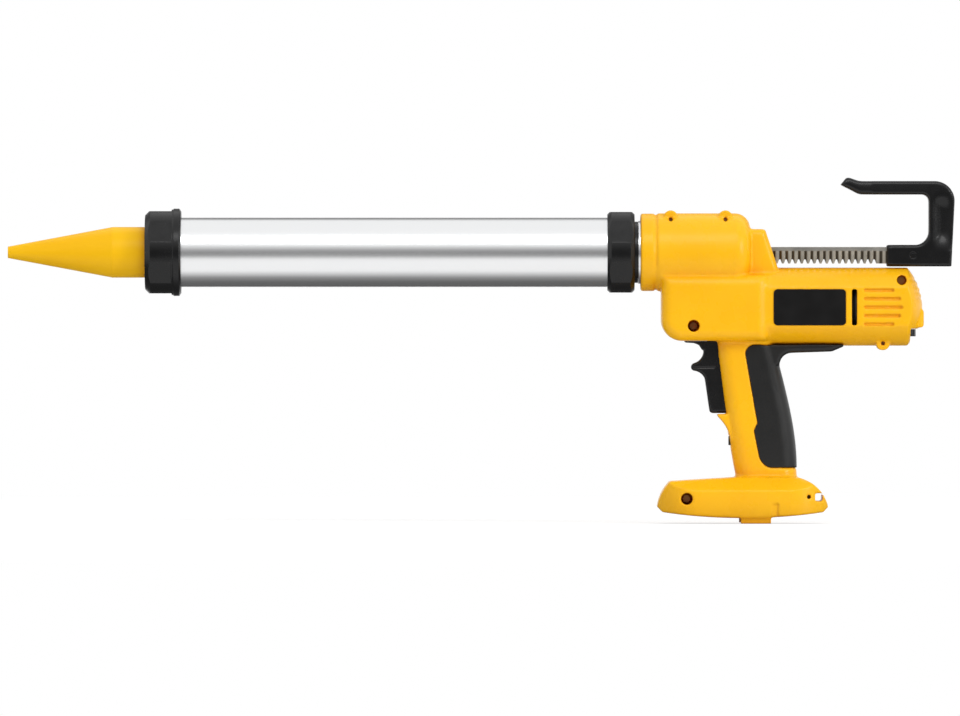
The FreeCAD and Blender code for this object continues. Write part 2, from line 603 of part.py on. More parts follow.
def circle(body, plane, x, y, radius, offset="0"):
    made = body.newObject("Sketcher::SketchObject", "Round")
    made.AttachmentSupport = [(origin(body, plane), "")]
    made.MapMode = "FlatFace"
    made.setExpression("AttachmentOffset.Base.z", bound(offset))
    centre = FreeCAD.Vector(number(x), number(y), 0)
    made.addGeometry(Part.Circle(centre, FreeCAD.Vector(0, 0, 1), number(radius)), False)
    for kind, text, value in zip(("DistanceX", "DistanceY"), (x, y), centre):
        rule = made.addConstraint(Sketcher.Constraint(kind, -1, 1, 0, 3, value))
        made.setExpression(f"Constraints[{rule}]", bound(text))
    rule = made.addConstraint(Sketcher.Constraint("Radius", 0, number(radius)))
    made.setExpression(f"Constraints[{rule}]", bound(radius))
    return made


def pad(body, sketch, length, symmetric=True):
    made = body.newObject("PartDesign::Pad", "Pad")
    made.Profile = sketch
    made.SideType = "Symmetric" if symmetric else "One side"
    made.setExpression("Length", bound(length))
    return made


def pocket(body, sketch, length, symmetric=True, reversed_way=False):
    made = body.newObject("PartDesign::Pocket", "Pocket")
    made.Profile = sketch
    made.SideType = "Symmetric" if symmetric else "One side"
    made.Reversed = reversed_way
    made.setExpression("Length", bound(length))
    return made


def spin(body, sketch, axis):
    made = body.newObject("PartDesign::Revolution", "Turned")
    made.Profile = sketch
    made.ReferenceAxis = (sketch, [axis])
    made.Angle = 360
    return made


def round_edges(body, radius, chosen, kind="PartDesign::Fillet"):
    """Round the edges that a test picks out of the body so far."""
    doc.recompute()
    base = body.Tip
    picked = [f"Edge{place + 1}" for place, edge in enumerate(base.Shape.Edges) if chosen(edge)]
    made = body.newObject(kind, "Rounded")
    made.Base = (base, picked)
    made.setExpression("Radius", bound(radius))
    return made


def around(body, feature, axis, count):
    made = body.newObject("PartDesign::PolarPattern", "Around")
    made.Originals = [feature]
    made.Axis = (origin(body, axis), [""])
    made.Angle = 360
    made.setExpression("Occurrences", bound(count))
    body.Tip = made
    return made


def turned_along_barrel(profile, z="barrel_height"):
    """A piece turned about an axis along X; the profile gives places along X and radii."""
    body = new_body(z=z)
    spin(body, outline(body, "XY_Plane", profile), "H_Axis")
    return body


def turned_across(profile, x, z):
    """A piece turned about an axis along Y; the profile gives radii and places along Y."""
    body = new_body(x=x, z=z)
    spin(body, outline(body, "XY_Plane", profile), "V_Axis")
    return body


def side_form(corners, width):
    """A piece drawn from the side and made the same width about the parting plane."""
    body = new_body()
    pad(body, outline(body, "XZ_Plane", corners), width)
    return body


def on_side(half_width):
    """Picks the edges that lie in the two side faces of a form of that half width."""
    def test(edge):
        return abs(abs(edge.CenterOfMass.y) - half_width) < 0.001
    return test


# Gears

def gear_wire(module, teeth, shift, inside=False):
    builder = fcgear.FCWireBuilder()
    make = involute.CreateInternalGear if inside else involute.CreateExternalGear
    make(builder, module, teeth, number("pressure_angle"), split=False, addCoeff=number("tooth_addendum"),
         shiftCoeff=shift)
    return Part.Wire([edge.toShape() for edge in builder.wire])


def spur_shape(module, teeth, width, bore):
    """A spur gear that stands on the XY plane with a tooth along X and a round bore."""
    wheel = Part.Face(gear_wire(module, teeth, -number("tooth_thinning")))
    blank = wheel.extrude(FreeCAD.Vector(0, 0, width))
    return blank.cut(Part.makeCylinder(bore, width)) if bore else blank


def feature(shape, x="0", y="0", z="0", turn=UPRIGHT):
    """A sub-part whose shape comes from the gear functions, put in its place."""
    made = doc.addObject("Part::Feature", "Piece")
    made.Shape = shape
    return place(made, x, y, z, turn)


def about_own_axis(degrees):
    return FreeCAD.Rotation(FreeCAD.Vector(0, 0, 1), degrees)


# Barrel, cap, nozzle and collar

def lobed(body, front, back, radius):
    """Panels cut flat between the grip lobes of a cap or collar, one of them uppermost."""
    half = "panel_width / 2"
    panel = [(front, f"-{half}"), (back, f"-{half}"), (back, half), (front, half)]
    sketch = outline(body, "XY_Plane", panel, offset=f"{radius} - lobe_depth")
    around(body, pocket(body, sketch, "lobe_depth * 3", False, True), "X_Axis", "panel_count")


def barrel_tube():
    keep(turned_along_barrel([
        (TUBE_FRONT, BORE_R), ("tube_rear", BORE_R), ("tube_rear", TUBE_R), (TUBE_FRONT, TUBE_R),
    ]), "barrel_tube")


def nozzle():
    tip = f"({FLANGE_BACK} - nozzle_length)"
    cone_end = f"({tip} + nozzle_cone)"
    flange_front = f"({FLANGE_BACK} - flange_thickness)"
    bore = "(nozzle_base / 2 - nozzle_wall)"
    keep(turned_along_barrel([
        (tip, "nozzle_outlet / 2"),
        (tip, "nozzle_tip / 2"),
        (cone_end, "nozzle_base / 2"),
        (flange_front, "nozzle_base / 2"),
        (flange_front, "nozzle_flange / 2"),
        (FLANGE_BACK, "nozzle_flange / 2"),
        (FLANGE_BACK, bore),
        (cone_end, bore),
        (f"{tip} + outlet_length", "nozzle_outlet / 2"),
    ]), "nozzle")


def front_cap():
    rim_front = f"({CAP_BACK} - cap_rim_width)"
    hole = "(nozzle_base / 2 + seat_gap)"
    bore = f"({TUBE_R} + slide_gap)"
    inside = f"({CAP_FRONT} + cap_wall)"
    body = turned_along_barrel([
        (CAP_FRONT, hole),
        (CAP_FRONT, "cap_od / 2 - cap_chamfer"),
        (f"{CAP_FRONT} + cap_chamfer", "cap_od / 2"),
        (f"{rim_front} - cap_rim / 2 + cap_od / 2", "cap_od / 2"),
        (rim_front, "cap_rim / 2"),
        (f"{CAP_BACK} - cap_rim_ease", "cap_rim / 2"),
        (CAP_BACK, "cap_rim / 2 - cap_chamfer / 2"),
        (CAP_BACK, bore),
        (inside, bore),
        (inside, hole),
    ])
    lobed(body, f"{CAP_FRONT} + panel_margin", f"{rim_front} - panel_margin", "cap_od / 2")
    keep(body, "front_cap")


def barrel_collar():
    sleeve = "(spigot_sleeve / 2 + slide_gap)"
    bore = f"({TUBE_R} + seat_gap)"
    body = turned_along_barrel([
        (COLLAR_FRONT, bore),
        (COLLAR_FRONT, "collar_od / 2 - collar_chamfer"),
        (f"{COLLAR_FRONT} + collar_chamfer", "collar_od / 2"),
        (f"{COLLAR_BACK} - collar_chamfer", "collar_od / 2"),
        (COLLAR_BACK, "collar_od / 2 - collar_chamfer"),
        (COLLAR_BACK, "collar_neck / 2"),
        (NECK_END, "collar_neck / 2"),
        (NECK_END, sleeve),
        ("tube_rear", sleeve),
        ("tube_rear", bore),
    ])
    lobed(body, f"{COLLAR_FRONT} + panel_margin", f"{COLLAR_BACK} - panel_margin", "collar_od / 2")
    keep(body, "barrel_collar")


CLIP_BACK = "(tube_rear - slide_gap)"
CLIP_FRONT = f"({CLIP_BACK} - clip_width)"
CLIP_R = "(spigot_sleeve / 2 - clip_groove)"


def barrel_spigot():
    """Metal spigot trapped in the housing's nose; the collar turns on its front sleeve."""
    step = f"({NECK_END} + slide_gap)"
    seat_back = f"({SPIGOT_SEAT} + spigot_flange_width)"
    keep(turned_along_barrel([
        (SPIGOT_FRONT, "spigot_bore / 2"),
        (SPIGOT_FRONT, "spigot_sleeve / 2"),
        (f"{CLIP_FRONT} - seat_gap", "spigot_sleeve / 2"),
        (f"{CLIP_FRONT} - seat_gap", f"{CLIP_R} - seat_gap"),
        (f"{CLIP_BACK} + seat_gap", f"{CLIP_R} - seat_gap"),
        (f"{CLIP_BACK} + seat_gap", "spigot_sleeve / 2"),
        (step, "spigot_sleeve / 2"),
        (step, "spigot_od / 2"),
        (SPIGOT_SEAT, "spigot_od / 2"),
        (SPIGOT_SEAT, "spigot_flange / 2"),
        (seat_back, "spigot_flange / 2"),
        (seat_back, "spigot_bore / 2"),
    ]), "barrel_spigot")
    clip = turned_along_barrel([
        (CLIP_FRONT, CLIP_R), (CLIP_BACK, CLIP_R), (CLIP_BACK, "clip_od / 2"), (CLIP_FRONT, "clip_od / 2"),
    ])
    keep(clip, "retaining_ring")


# Rack, piston and pull handle

def rack_window(gap, start, end):
    """The space of the rack bar with a clearance all round, as a straight passage."""
    half_y = f"(rack_width / 2 + {gap})"
    half_z = f"(rack_height / 2 + {gap})"
    return box((start, end), (f"-{half_y}", half_y), (f"{RACK_Z} - {half_z}", f"{RACK_Z} + {half_z}"))


def rack():
    """Bar with teeth along its underside and flutes up its sides at the same pitch.

    A gap between two teeth lies straight above the pinion, so the teeth mesh at rest.
    """
    pitch = math.pi * number("rack_module")
    lean = math.tan(math.radians(number("pressure_angle")))
    pitch_line = number(f"{RACK_TIP} + rack_addendum")
    root = pitch_line + number("rack_dedendum")
    tip = number(RACK_TIP)
    gap = pitch / 4 + number("rack_backlash") / 4
    front = number(RACK_FRONT)
    back = number(RACK_BACK)
    first = number(f"{RACK_FRONT} + rack_toothless")
    last = number("sleeve_front")
    pinion = number("pinion_x")
    top = number(f"{RACK_Z} + rack_height / 2")
    half = number("rack_width / 2")
    depth = number("flute_depth")
    reach = number("flute_width / 2")
    flute_top = top - number("rack_plain")
    centres = [pinion + pitch * count for count in range(math.ceil((first - pinion) / pitch),
                                                        math.floor((last - pinion) / pitch))]
    side = [FreeCAD.Vector(front, -half, top), FreeCAD.Vector(front, -half, tip)]
    for centre in centres:
        mouth = gap + (pitch_line - tip) * lean
        floor = gap - (root - pitch_line) * lean
        side += [FreeCAD.Vector(centre - mouth, -half, tip), FreeCAD.Vector(centre - floor, -half, root),
                 FreeCAD.Vector(centre + floor, -half, root), FreeCAD.Vector(centre + mouth, -half, tip)]
    side += [FreeCAD.Vector(back, -half, tip), FreeCAD.Vector(back, -half, top)]
    bar = Part.Face(Part.makePolygon(side + side[:1])).extrude(FreeCAD.Vector(0, 2 * half, 0))
    flutes = []
    for centre in centres:
        for sign in (-1, 1):
            notch = [FreeCAD.Vector(centre - reach, sign * half, tip - depth),
                     FreeCAD.Vector(centre, sign * (half - depth), tip - depth),
                     FreeCAD.Vector(centre + reach, sign * half, tip - depth)]
            face = Part.Face(Part.makePolygon(notch + notch[:1]))
            flutes.append(face.extrude(FreeCAD.Vector(0, 0, flute_top - tip + depth)))
    bar = bar.cut(Part.makeCompound(flutes))
    hole = Part.makeCylinder(number("piston_bolt / 2 + press_gap"), number("bolt_grip + seat_gap"),
                             FreeCAD.Vector(front, 0, number(RACK_Z)), FreeCAD.Vector(1, 0, 0))
    pin = Part.makeCylinder(number("handle_pin_d / 2 + press_gap"), 2 * half,
                            FreeCAD.Vector(number("sleeve_front + handle_pin_back"), -half, number(RACK_Z)),
                            FreeCAD.Vector(0, 1, 0))
    keep(feature(bar.cut(Part.makeCompound([hole, pin]))), "rack")


def piston():
    radius = f"({BORE_R} - piston_gap)"
    seal_front = f"({PISTON_FRONT} + piston_length / 2 - seal_width / 2)"
    seal_back = f"({seal_front} + seal_width)"
    seal_r = f"({radius} - seal_depth)"
    disc_back = f"({PISTON_FRONT} + piston_length)"
    body = turned_along_barrel([
        (PISTON_FRONT, "0"),
        (PISTON_FRONT, radius),
        (seal_front, radius),
        (seal_front, seal_r),
        (seal_back, seal_r),
        (seal_back, radius),
        (disc_back, radius),
        (disc_back, "hub_od / 2"),
        (HUB_BACK, "hub_od / 2"),
        (HUB_BACK, "0"),
    ])
    head_depth = "(bolt_head_height + seat_gap)"
    sunk = rod("piston_bolt_head / 2 + seat_gap", PISTON_FRONT, f"{PISTON_FRONT} + {head_depth}", "x",
               z=RACK_Z)
    shank = rod("piston_bolt / 2 + seat_gap", PISTON_FRONT, disc_back, "x", z=RACK_Z)
    keep(cut(body, sunk, shank, rack_window("seat_gap", RACK_FRONT, HUB_BACK)), "piston")
    keep(turned_along_barrel([
        (f"{seal_front} + press_gap", f"{seal_r} + press_gap"),
        (f"{seal_back} - press_gap", f"{seal_r} + press_gap"),
        (f"{seal_back} - press_gap", f"{BORE_R} - slide_gap"),
        (f"{seal_front} + press_gap", f"{BORE_R} - slide_gap"),
    ]), "piston_seal")
    head_front = f"({PISTON_FRONT} + seat_gap)"
    head = rod("piston_bolt_head / 2", head_front, f"{PISTON_FRONT} + {head_depth}", "x", z=RACK_Z)
    bolt = rod("piston_bolt / 2", head_front, f"{RACK_FRONT} + bolt_grip", "x", z=RACK_Z)
    keep(fuse(head, bolt), "piston_bolt")


def pull_handle():
    """Hook moulded in one piece with the sleeve on the rack's rear end."""
    body = side_form([
        ("sleeve_front", "sleeve_bottom"),
        ("post_rear - post_taper", "sleeve_bottom"),
        ("post_rear", "arm_top - arm_corner"),
        ("post_rear - arm_corner", "arm_top", "arm_corner", "anticlockwise"),
        ("arm_kink", "arm_top"),
        ("tip_back", "tip_top"),
        ("tip_front", "tip_bottom"),
        ("arm_kink", "arm_bottom"),
        ("post_front - post_corner", "arm_bottom"),
        ("post_front", "arm_bottom - post_corner", "post_corner", "clockwise"),
        ("post_front", "sleeve_top + post_root"),
        ("post_front - post_root", "sleeve_top", "post_root", "clockwise"),
        ("sleeve_front", "sleeve_top"),
    ], "handle_width")
    round_edges(body, "handle_round", on_side(number("handle_width / 2")))
    panels = []
    for sign in ("-", ""):
        near = f"{sign}(handle_width / 2 - handle_panel)"
        far = f"{sign}handle_width"
        across = (far, near) if sign else (near, far)
        panels.append(box(("post_front + handle_border", "post_rear - post_taper - handle_border"), across,
                          ("sleeve_top + handle_border", "arm_bottom - handle_border")))
    pin_x = "(sleeve_front + handle_pin_back)"
    hole = rod("handle_pin_d / 2 + press_gap", "-handle_width", "handle_width", "y", x=pin_x, z=RACK_Z)
    keep(cut(body, rack_window("seat_gap", "sleeve_front", RACK_BACK), hole, *panels), "pull_handle")
    pin = rod("handle_pin_d / 2", "-handle_width / 2", "handle_width / 2", "y", x=pin_x, z=RACK_Z)
    keep(fuse(pin), "handle_pin")


# Housing forms

def upper_form(inset="0"):
    """Nose ring, groove and upper housing, turned about the barrel axis."""
    radius = f"(upper_od / 2 - {inset})"
    dome = "(upper_rear - upper_dome)"
    drop = "(upper_round - sqrt(upper_round ^ 2 - upper_dome ^ 2))"
    if inset != "0":
        return turned_along_barrel([
            (SPIGOT_SEAT, "0"),
            (SPIGOT_SEAT, radius),
            (dome, radius),
            (f"upper_rear - {inset}", f"{radius} - {drop}", "upper_round", "clockwise"),
            (f"upper_rear - {inset}", "0"),
        ])
    return turned_along_barrel([
        ("nose_front", "0"),
        ("nose_front", "nose_od / 2 - nose_groove"),
        ("nose_front + nose_groove", "nose_od / 2"),
        (f"{NOSE_BACK} - nose_groove / 2", "nose_od / 2"),
        (NOSE_BACK, "nose_od / 2 - nose_groove"),
        (f"{UPPER_START} - nose_groove", "nose_od / 2 - nose_groove"),
        (UPPER_START, radius),
        (dome, radius),
        ("upper_rear", f"{radius} - {drop}", "upper_round", "clockwise"),
        ("upper_rear", "0"),
    ])


def guide_form():
    """Block behind the upper housing through which the rack comes out."""
    top = "(barrel_height + guide_top)"
    foot = "(sleeve_bottom - wall)"
    body = side_form([
        ("upper_rear - upper_round", foot), ("guide_foot", foot), ("guide_rear", top),
        ("upper_rear - upper_round", top),
    ], "guide_width")
    half = number("guide_width / 2")
    height = number(top)
    round_edges(body, "guide_round", lambda edge: on_side(half)(edge)
                and (edge.CenterOfMass.z > height - 0.001 or edge.CenterOfMass.x > number("guide_rear")))
    return body


def gear_form(inset="0"):
    """Rounded gear housing under the upper housing."""
    front = f"(gear_front + {inset})"
    bottom = f"(gear_bottom + {inset})"
    top = f"(gear_top - {inset})"
    nose = f"(gear_nose - {inset})"
    rear = f"(gear_rear - {inset})"
    body = side_form([
        (front, f"{bottom} + {nose}"),
        (f"{front} + {nose}", bottom, nose, "anticlockwise"),
        (rear, bottom),
        (rear, top),
        (front, top),
    ], f"gear_width - 2 * {inset}")
    round_edges(body, f"gear_round - {inset}", on_side(number(f"gear_width / 2 - {inset}")))
    return body


def motor_form(inset="0"):
    """Round motor housing with a domed rear and two flat sides."""
    radius = f"(motor_od / 2 - {inset})"
    depth = f"(dome_depth - {inset})"
    dome = f"(({radius} ^ 2 + {depth} ^ 2) / (2 * {depth}))"
    start = f"({COVER_FRONT} + {inset})"
    body = turned_along_barrel([
        (start, "0"),
        (start, radius),
        ("motor_rear", radius),
        (f"motor_rear + {depth}", "0", dome, "clockwise"),
    ], z=MOTOR_Z)
    half = f"(motor_width / 2 - {inset})"
    flats = box((start, "motor_rear + dome_depth"), (f"-{half}", half),
                (f"{MOTOR_Z} - motor_od", f"{MOTOR_Z} + motor_od"))
    return common(body, flats)


def grip_section(key, inset):
    """One level section of the grip: a long rounded rectangle."""
    front = f"(grip_{key}_front + {inset})"
    rear = f"(grip_{key}_rear - {inset})"
    half = f"(grip_{key}_width / 2 - {inset})"
    flat = "(grip_flat / 2)"
    corner = f"({half} - {flat})"
    section = place(doc.addObject("Sketcher::SketchObject", "Section"), z=f"grip_{key}")
    return draw(section, [
        (f"{front} + {corner}", f"-{half}", corner, "anticlockwise"),
        (f"{rear} - {corner}", f"-{half}"),
        (rear, f"-{flat}", corner, "anticlockwise"),
        (rear, flat),
        (f"{rear} - {corner}", half, corner, "anticlockwise"),
        (f"{front} + {corner}", half),
        (front, flat, corner, "anticlockwise"),
        (front, f"-{flat}"),
    ])


def grip_form(inset="0"):
    """Leaning grip, lofted through four level sections."""
    made = doc.addObject("Part::Loft", "Grip")
    made.Sections = [grip_section(key, inset) for key in ("top", "upper", "lower", "base")]
    made.Solid = True
    made.Ruled = False
    return made


def beak_form():
    """Hollowed finger rest that runs from under the trigger into the grip's front."""
    back = "(grip_lower_front + wall * 2)"
    return side_form([
        ("beak_front", "beak_top"),
        ("grip_lower_front + wall", "beak_foot", "beak_radius", "clockwise"),
        (back, "beak_foot"),
        (back, "beak_top"),
    ], "beak_width")


def foot_plan(inset, length):
    """The foot's outline from above, drawn in by an inset and made to a height."""
    half = f"(foot_width / 2 - {inset})"
    nose = f"(foot_nose / 2 - {inset} / 2)"
    front = f"(foot_front + {inset})"
    rear = f"(foot_rear - {inset})"
    body = new_body()
    pad(body, outline(body, "XY_Plane", [
        (front, f"-{nose}"),
        (f"{front} + foot_taper", f"-{half}", "foot_plan_round", "anticlockwise"),
        (f"{rear} - foot_taper", f"-{half}"),
        (rear, f"-{nose}", "foot_plan_round", "anticlockwise"),
        (rear, nose),
        (f"{rear} - foot_taper", half, "foot_plan_round", "anticlockwise"),
        (f"{front} + foot_taper", half),
        (front, nose, "foot_plan_round", "anticlockwise"),
    ]), length)
    return body


def foot_form():
    """Battery foot: what its outlines from the side, from above and from the end have in common."""
    side = side_form([
        ("foot_front", "foot_end", "foot_front_round", "anticlockwise"),
        ("foot_front + foot_corner", "foot_low"),
        ("foot_rear - foot_corner", "foot_low", "foot_belly", "anticlockwise"),
        ("foot_rear", "foot_end"),
        ("grip_base_rear", "foot_top", "foot_rear_round", "anticlockwise"),
        ("grip_base_front", "foot_top"),
        ("foot_front + foot_shoulder_back", "foot_shoulder"),
    ], "foot_width * 2")
    ends = new_body()
    pad(ends, outline(ends, "YZ_Plane", [
        ("-foot_width / 2", "-foot_edge"),
        ("foot_width / 2", "-foot_edge"),
        ("foot_width / 2", "foot_edge"),
        ("foot_crown / 2", "foot_top + foot_round"),
        ("-foot_crown / 2", "foot_top + foot_round"),
        ("-foot_width / 2", "foot_edge"),
    ]), "foot_rear * 4")
    return common(common(side, foot_plan("0", "foot_top * 3")), ends)


# Tools that both housing halves are cut with

def along(radius, start, end, z):
    return rod(radius, start, end, "x", z=z)


def across(radius, half, x, z):
    return rod(radius, f"-({half})", half, "y", x=x, z=z)


def slab(x, half, z):
    """A block of a half width on both sides of the parting plane."""
    return box(x, (f"-({half})", half), z)


SCREWS = {key: (f"screw_{key}_x", f"screw_{key}_z") for key in "abcdefg"}
FROM_LEFT = {"c": "bore_large", "d": "bore_small", "f": "bore_large"}


def housing_ribs():
    """Ribs, posts and bosses that stay in the hollow housing."""
    case_fit = f"({CASE_R} + seat_gap)"
    low = f"({MOTOR_Z} - motor_od / 2)"
    high = f"({PINION_Z} - slide_gap)"
    wide = "gear_width"
    ribs = []
    for start in (COVER_FRONT, f"({RING_FRONT} + rib_width)", f"({MOTOR_FRONT} + rib_front)",
                  f"({MOTOR_FRONT} + rib_rear)"):
        rib = slab((start, f"{start} + rib_width"), wide, (low, high))
        ribs.append(cut(rib, along(case_fit, f"{start} - wall", f"{start} + rib_width + wall", MOTOR_Z)))
    posts = [across("post_od / 2", wide, *SCREWS[key]) for key in "abcd"]
    seat = f"({SPIGOT_SEAT} + spigot_flange_width)"
    ring = cut(along("upper_od / 2", seat, f"{seat} + wall", "barrel_height"),
               along("spigot_od / 2 - wall", SPIGOT_SEAT, f"{seat} + wall * 2", "barrel_height"))
    bosses = []
    for radius, x, z, half in ((PINION_BUSH_R, "pinion_x", PINION_Z, "pinion_shaft_length / 2"),
                               (LAY_BUSH_R, LAY_X, MOTOR_Z, "lay_shaft_length / 2")):
        inner = f"({half} - bearing_width)"
        bosses.append(cut(across(f"{radius} + boss_wall", wide, x, z),
                          across(f"{radius} + wall * 2", inner, x, z)))
    pivot = cut(across("trigger_pin_d / 2 + boss_wall", wide, "trigger_pivot_x", "trigger_pivot_z"),
                slab(("trigger_hook", "0"), "trigger_width / 2 + slide_gap", ("beak_foot", "gear_top")))
    control = cut(slab(("dial_x - control_od", "dial_x + control_od / 2"), wide,
                       (f"{CONTROL_BOTTOM} + wall / 2", f"{CONTROL_BOTTOM} + control_height")),
                  rod("control_od / 2 + seat_gap", DIAL_Z, MOTOR_Z, "z", x="dial_x"))
    behind = slab((f"{DIAL_NOTCH} - wall", DIAL_NOTCH), wide, (low, f"{CONTROL_BOTTOM} + wall"))
    above = slab((f"{DIAL_NOTCH} - wall", "pad_rear"), wide, (CONTROL_BOTTOM, f"{CONTROL_BOTTOM} + wall"))
    return ribs + posts + [ring, pivot, control, behind, above] + bosses


def grip_ribs():
    """Shelves in the hollow grip: they hold the switch, the lock slider and the terminal block."""
    wide = "gear_width"
    switch = slab(("switch_front - seat_gap", "switch_front + switch_length + seat_gap"),
                  "switch_width / 2 + seat_gap",
                  ("switch_bottom - seat_gap", "switch_bottom + switch_height + seat_gap"))
    shelves = fuse(*[slab(("switch_front", "grip_base_rear"), wide, (z, f"{z} + rib_thickness"))
                     for z in ("(switch_bottom - rib_thickness)", "(switch_bottom + switch_height)",
                               "(switch_bottom + switch_height / 2)")])
    lock = slab(("grip_upper_front", "lock_front + lock_depth + lock_flange + wall"), wide,
                ("lock_z - lock_height", "lock_z + lock_height"))
    base = slab(("grip_lower_front", "grip_base_rear"), wide, ("0", f"{TERMINAL_TOP} + rib_thickness"))
    return [cut(shelves, switch), lock, base]


def trigger_slot():
    """Room for the trigger, from its ear down to its toe, through its whole swing."""
    half = "(trigger_width / 2 + slide_gap)"
    swept = "(trigger_heel + (trigger_pivot_z - trigger_bottom) * tan(trigger_swing) + wall)"
    lower = slab(("trigger_hook - wall", swept), half, ("beak_top", "gear_bottom"))
    reach = "(trigger_ear * 3)"
    upper = slab((f"trigger_pivot_x - {reach}", f"trigger_pivot_x + {reach}"), half,
                 ("gear_bottom - wall", "trigger_pivot_z + trigger_ear + slide_gap"))
    return fuse(lower, upper)


def louvres(sign):
    """Five blind louvres and an open cooling slot in one side of the motor housing."""
    near = f"({FLAT_Y} - louvre_depth)"
    made = []
    for step in (-2, -1, 0, 1, 2):
        middle = f"({VENT_Z} + louvre_pitch * {step})"
        end = f"(louvre_front + louvre_long - louvre_step * {step * step})"
        depth = (f"-({FLAT_Y} + wall)", f"-{near}") if sign < 0 else (near, f"{FLAT_Y} + wall")
        made.append(box(("louvre_front", end), depth,
                        (f"{middle} - louvre_height / 2", f"{middle} + louvre_height / 2")))
    through = (f"-({FLAT_Y} + wall)", f"-({FLAT_Y} - wall * 2)") if sign < 0 else \
        (f"{FLAT_Y} - wall * 2", f"{FLAT_Y} + wall")
    made.append(box(("slot_front", "slot_front + slot_length"), through,
                    (f"{VENT_Z} - label_height / 2", f"{VENT_Z} + label_height / 2")))
    return made


def plate_outline(grow, start, end):
    """The bare plate's rounded outline, grown by a gap, as a block on the left side."""
    body = new_body()
    low = f"({VENT_Z} - label_height / 2 - {grow})"
    high = f"({VENT_Z} + label_height / 2 + {grow})"
    front = f"(label_front - {grow})"
    rear = f"(label_front + label_length + {grow})"
    radius = "label_corner"
    sketch = outline(body, "XZ_Plane", [
        (f"{front} + {radius}", low, radius, "anticlockwise"),
        (f"{rear} - {radius}", low),
        (rear, f"{low} + {radius}", radius, "anticlockwise"),
        (rear, f"{high} - {radius}"),
        (f"{rear} - {radius}", high, radius, "anticlockwise"),
        (f"{front} + {radius}", high),
        (front, f"{high} - {radius}", radius, "anticlockwise"),
        (front, f"{low} + {radius}"),
    ], offset=start)
    pad(body, sketch, f"{end} - ({start})", False)
    return body


def screw_tools():
    """Clearance for the screws, and the recesses that they are driven through."""
    made = []
    for key, (x, z) in SCREWS.items():
        start = "(screw_length - screw_bury)"
        recess = f"({FROM_LEFT.get(key, 'screw_head + slide_gap * 2')} / 2)"
        clear = "screw_d / 2 + shaft_gap"
        if key in FROM_LEFT:
            made.append(rod(clear, "-foot_width", "screw_bury + seat_gap", "y", x=x, z=z))
            made.append(rod(recess, "-foot_width", f"-{start}", "y", x=x, z=z))
        else:
            made.append(across(clear, "foot_width", x, z))
            made.append(rod(recess, start, "foot_width", "y", x=x, z=z))
    return made


def screws():
    """Seven like screws; three are driven from the left and four from the right."""
    made = []
    for key, (x, z) in SCREWS.items():
        start = "(screw_length - screw_bury)"
        if key in FROM_LEFT:
            head = rod("screw_head / 2", f"-({start} + screw_head_height)", f"-{start}", "y", x=x, z=z)
            shank = rod("screw_d / 2", f"-({start} + screw_head_height / 2)", "screw_bury", "y", x=x, z=z)
        else:
            head = rod("screw_head / 2", start, f"{start} + screw_head_height", "y", x=x, z=z)
            shank = rod("screw_d / 2", "-screw_bury", f"{start} + screw_head_height / 2", "y", x=x, z=z)
        made.append(fuse(head, shank))
    keep(group(*made), "housing_screws")


def cover_region(gap):
    """The grip cover's edge seen from the side, as a block, grown by a seam."""
    rear = "(tail_end + wall)"
    head = f"(cover_head_front - {gap})"
    top = f"(cover_top + {gap})"
    base = f"(cover_base - {gap})"
    return side_form([
        (head, f"{top} - cover_head_round", "cover_head_round", "anticlockwise"),
        (f"cover_waist_front - {gap}", "cover_waist"),
        (f"cover_notch_front - {gap}", "cover_notch"),
        (f"cover_heel_front - {gap}", "cover_heel"),
        ("cover_base_front", base, "cover_heel_round", "anticlockwise"),
        (rear, base),
        (rear, top),
        (f"{head} + cover_head_round", top),
    ], "foot_width")


def tail_form():
    """Tail of the grip cover that runs back under the motor housing."""
    inside = "(cover_head_front + cover_head_round)"
    web = "(tail_bottom - web_radius)"
    body = side_form([
        (inside, web),
        ("web_front", web),
        ("web_front + web_radius", "tail_bottom", "web_radius", "clockwise"),
        ("tail_end - web_radius", "tail_bottom + tail_rise"),
        ("tail_end", "tail_tip"),
        ("tail_end", "cover_top"),
        (inside, "cover_top"),
    ], "tail_width")
    half = number("tail_width / 2")
    round_edges(body, "tail_round", lambda edge: on_side(half)(edge)
                and edge.CenterOfMass.z < number("tail_tip") and edge.CenterOfMass.x > number("web_front"))
    return body


# Housing halves with what is set into them

